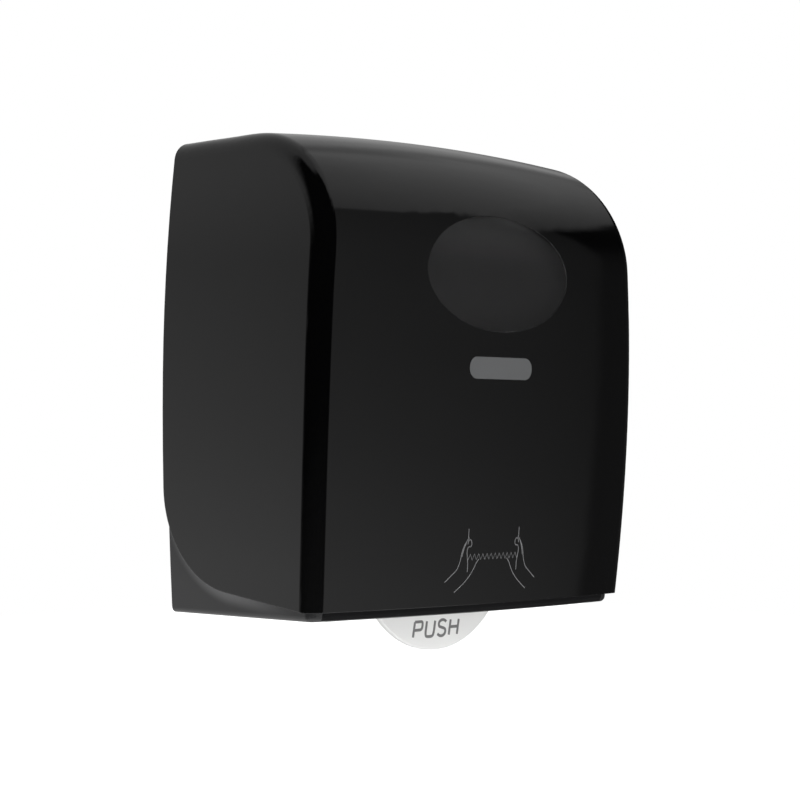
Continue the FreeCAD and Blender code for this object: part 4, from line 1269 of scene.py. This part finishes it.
@dataclass(frozen=True)
class Studio:
    """Floor, backdrop, lamps and camera.

    Attributes:
        floor_drop: how far the floor lies below the case.
        floor_size: length of the floor's side.
        floor_colour: the floor's own colour.
        floor_roughness: the floor's roughness.
        floor_glow: the floor's added brightness where the camera sees it.
        ambient: brightness of the room for matt surfaces.
        room: brightness of the unlit room in gloss.
        boards: the boards that show in gloss, each over those before it.
        lamps: the lamps that light matt surfaces.
    """

    floor_drop: float = 0.62
    floor_size: float = 14.0
    floor_colour: Colour = (0.72, 0.72, 0.72)
    floor_roughness: float = 0.9
    floor_glow: float = 0.9
    ambient: float = 0.72
    room: float = 0.006
    boards: Sequence[Board] = (
        # The dim lower half of the room
        Board(-180, 180, -90, -4, ((-30, 0.14), (-8, 0.035), (-2, 0.01)), (1, 1, 1, 3)),
        # The wall of light that the cover's left side shows, and its upper part
        Board(131, 229, -90, 90, ((-12, 0.87), (-7, 0.8), (-3.7, 0.685), (0, 0.58), (4, 0.51), (9.5, 0.44),
                                  (14.5, 0.52), (30, 0.5), (60, 0.42)), (12, 12, 1, 1)),
        Board(118, 242, 17, 90, ((14, 0.52), (60, 0.42)), (10, 16, 6, 1)),
        # The dark right edge of the cover's front
        Board(60, 128, -90, 18, ((-10, 0.07), (6, 0.045), (20, 0.015)), (1, 8, 1, 5)),
        # The panel that the cover's front shows, weaker to the right
        Board(20, 63.5, -90, 37.5, ((-20, 0.63), (-13.5, 0.625), (-11, 0.555), (-5, 0.4), (0, 0.32),
                                    (5, 0.27), (25, 0.25)), (1.2, 0.9, 1, 1), 0.3, 1.25, 0.6),
        # The light along the cover's rounded top, and its lower end on the right
        Board(60, 119, 28, 40, ((27, 0.23), (30, 0.29), (36, 0.4)), (2, 4, 1.6, 3)),
        Board(30, 117, 36.6, 90, ((36, 0.43), (40, 0.47), (50, 0.54), (60, 0.48)), (9, 7, 0.7, 1)),
        # The dark wedge under that end
        Board(76, 112, 15, 28.6, ((0, 0.015),), (3, 3, 3, 1.2)),
        Board(88, 112, 15, 30.5, ((0, 0.015),), (4, 3, 3, 1.2)),
        # The ceiling and the bright floor under the object
        Board(-180, 180, 76, 90, ((60, 0.38),), (1, 1, 5, 1)),
        Board(-180, 180, -90, -45, ((-60, 1.05), (-42, 0.95)), (1, 1, 1, 6)),
    )
    lamps: Sequence[Lamp] = (
        Lamp("key", -35.0, 38.0, 2.6, 1.8, 8.0),
        Lamp("fill", 50.0, 20.0, 2.8, 2.0, 1.5),
        Lamp("low", -20.0, -10.0, 2.4, 0.7, 21.0),
    )

    def build(self) -> None:
        """Makes the whole studio."""
        self.world()
        self.floor()
        for lamp in self.lamps:
            lamp.build()
        View().build()

    def world(self) -> None:
        """White for the camera and through the window, boards in gloss, even light on the rest."""
        world = bpy.data.worlds.new("studio")
        bpy.context.scene.world = world
        world.use_nodes = True
        graph = Graph(world.node_tree)
        x, y, z = graph.split(graph.node("TexCoord").outputs["Generated"])
        azimuth = graph.maths("DEGREES", graph.maths("ARCTAN2", x, graph.maths("MULTIPLY", y, -1.0)))
        elevation = graph.maths("DEGREES", graph.maths("ARCSINE", z))
        level = self.room
        for board in self.boards:
            level = board.over(graph, azimuth, elevation, level)
        strength = graph.between(graph.node("LightPath").outputs["Is Glossy Ray"], self.ambient, level)
        background = world.node_tree.nodes["Background"]
        graph.feed(background.inputs["Color"], (1.0, 1.0, 1.0))
        graph.feed(background.inputs["Strength"], graph.between(seen_mask(graph), strength, 1.0))

    def floor(self) -> None:
        """A pale floor that keeps the object's shadow and joins the white backdrop."""
        bm = bmesh.new()
        bmesh.ops.create_grid(bm, x_segments=1, y_segments=1, size=self.floor_size / 2)
        bmesh.ops.translate(bm, verts=bm.verts, vec=(0.0, 0.0, BASE_Z - self.floor_drop))
        mesh = bpy.data.meshes.new("floor")
        bm.to_mesh(mesh)
        bm.free()
        floor = bpy.data.objects.new("floor", mesh)
        bpy.context.scene.collection.objects.link(floor)
        floor.visible_glossy = False
        material = bpy.data.materials.new("pale_floor")
        material.use_nodes = True
        graph = Graph(material.node_tree)
        glow = graph.maths("MULTIPLY", seen_mask(graph), self.floor_glow)
        for name, value in (("Base Color", self.floor_colour), ("Roughness", self.floor_roughness),
                            ("Specular IOR Level", 0.0), ("Emission Color", (1.0, 1.0, 1.0)),
                            ("Emission Strength", glow)):
            graph.feed(material.node_tree.nodes["Principled BSDF"].inputs[name], value)
        mesh.materials.append(material)


def dress_nodes(frame: dict, effects: Effects) -> None:
    """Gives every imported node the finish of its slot.

    Args:
        frame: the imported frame.
        effects: the shared groups.
    """
    built = {}
    for row in frame["record"]["subparts"]:
        slot = row["material_slot"]
        if slot not in built:
            built[slot] = Finishes[slot].value.build(effects)
        for holder in frame["nodes"][row["node"]].material_slots:
            holder.material = built[slot]
    LOG.info("%d nodes dressed in %d finishes", len(frame["nodes"]), len(built))


def main() -> None:
    """Builds the scene."""
    logging.basicConfig(level=logging.INFO, format="%(message)s")
    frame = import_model()
    scene = bpy.context.scene
    scene.view_settings.view_transform = "Standard"
    for spare in [thing for thing in scene.objects if thing.type in ("CAMERA", "LIGHT")]:
        bpy.data.objects.remove(spare)
    effects = Effects()
    Studio().build()
    dress_nodes(frame, effects)
    Cover().build(frame, effects)
    ShadeStrip().build(frame, effects)
    Lever().build(frame, effects)


if __name__ == "__main__":
    main()
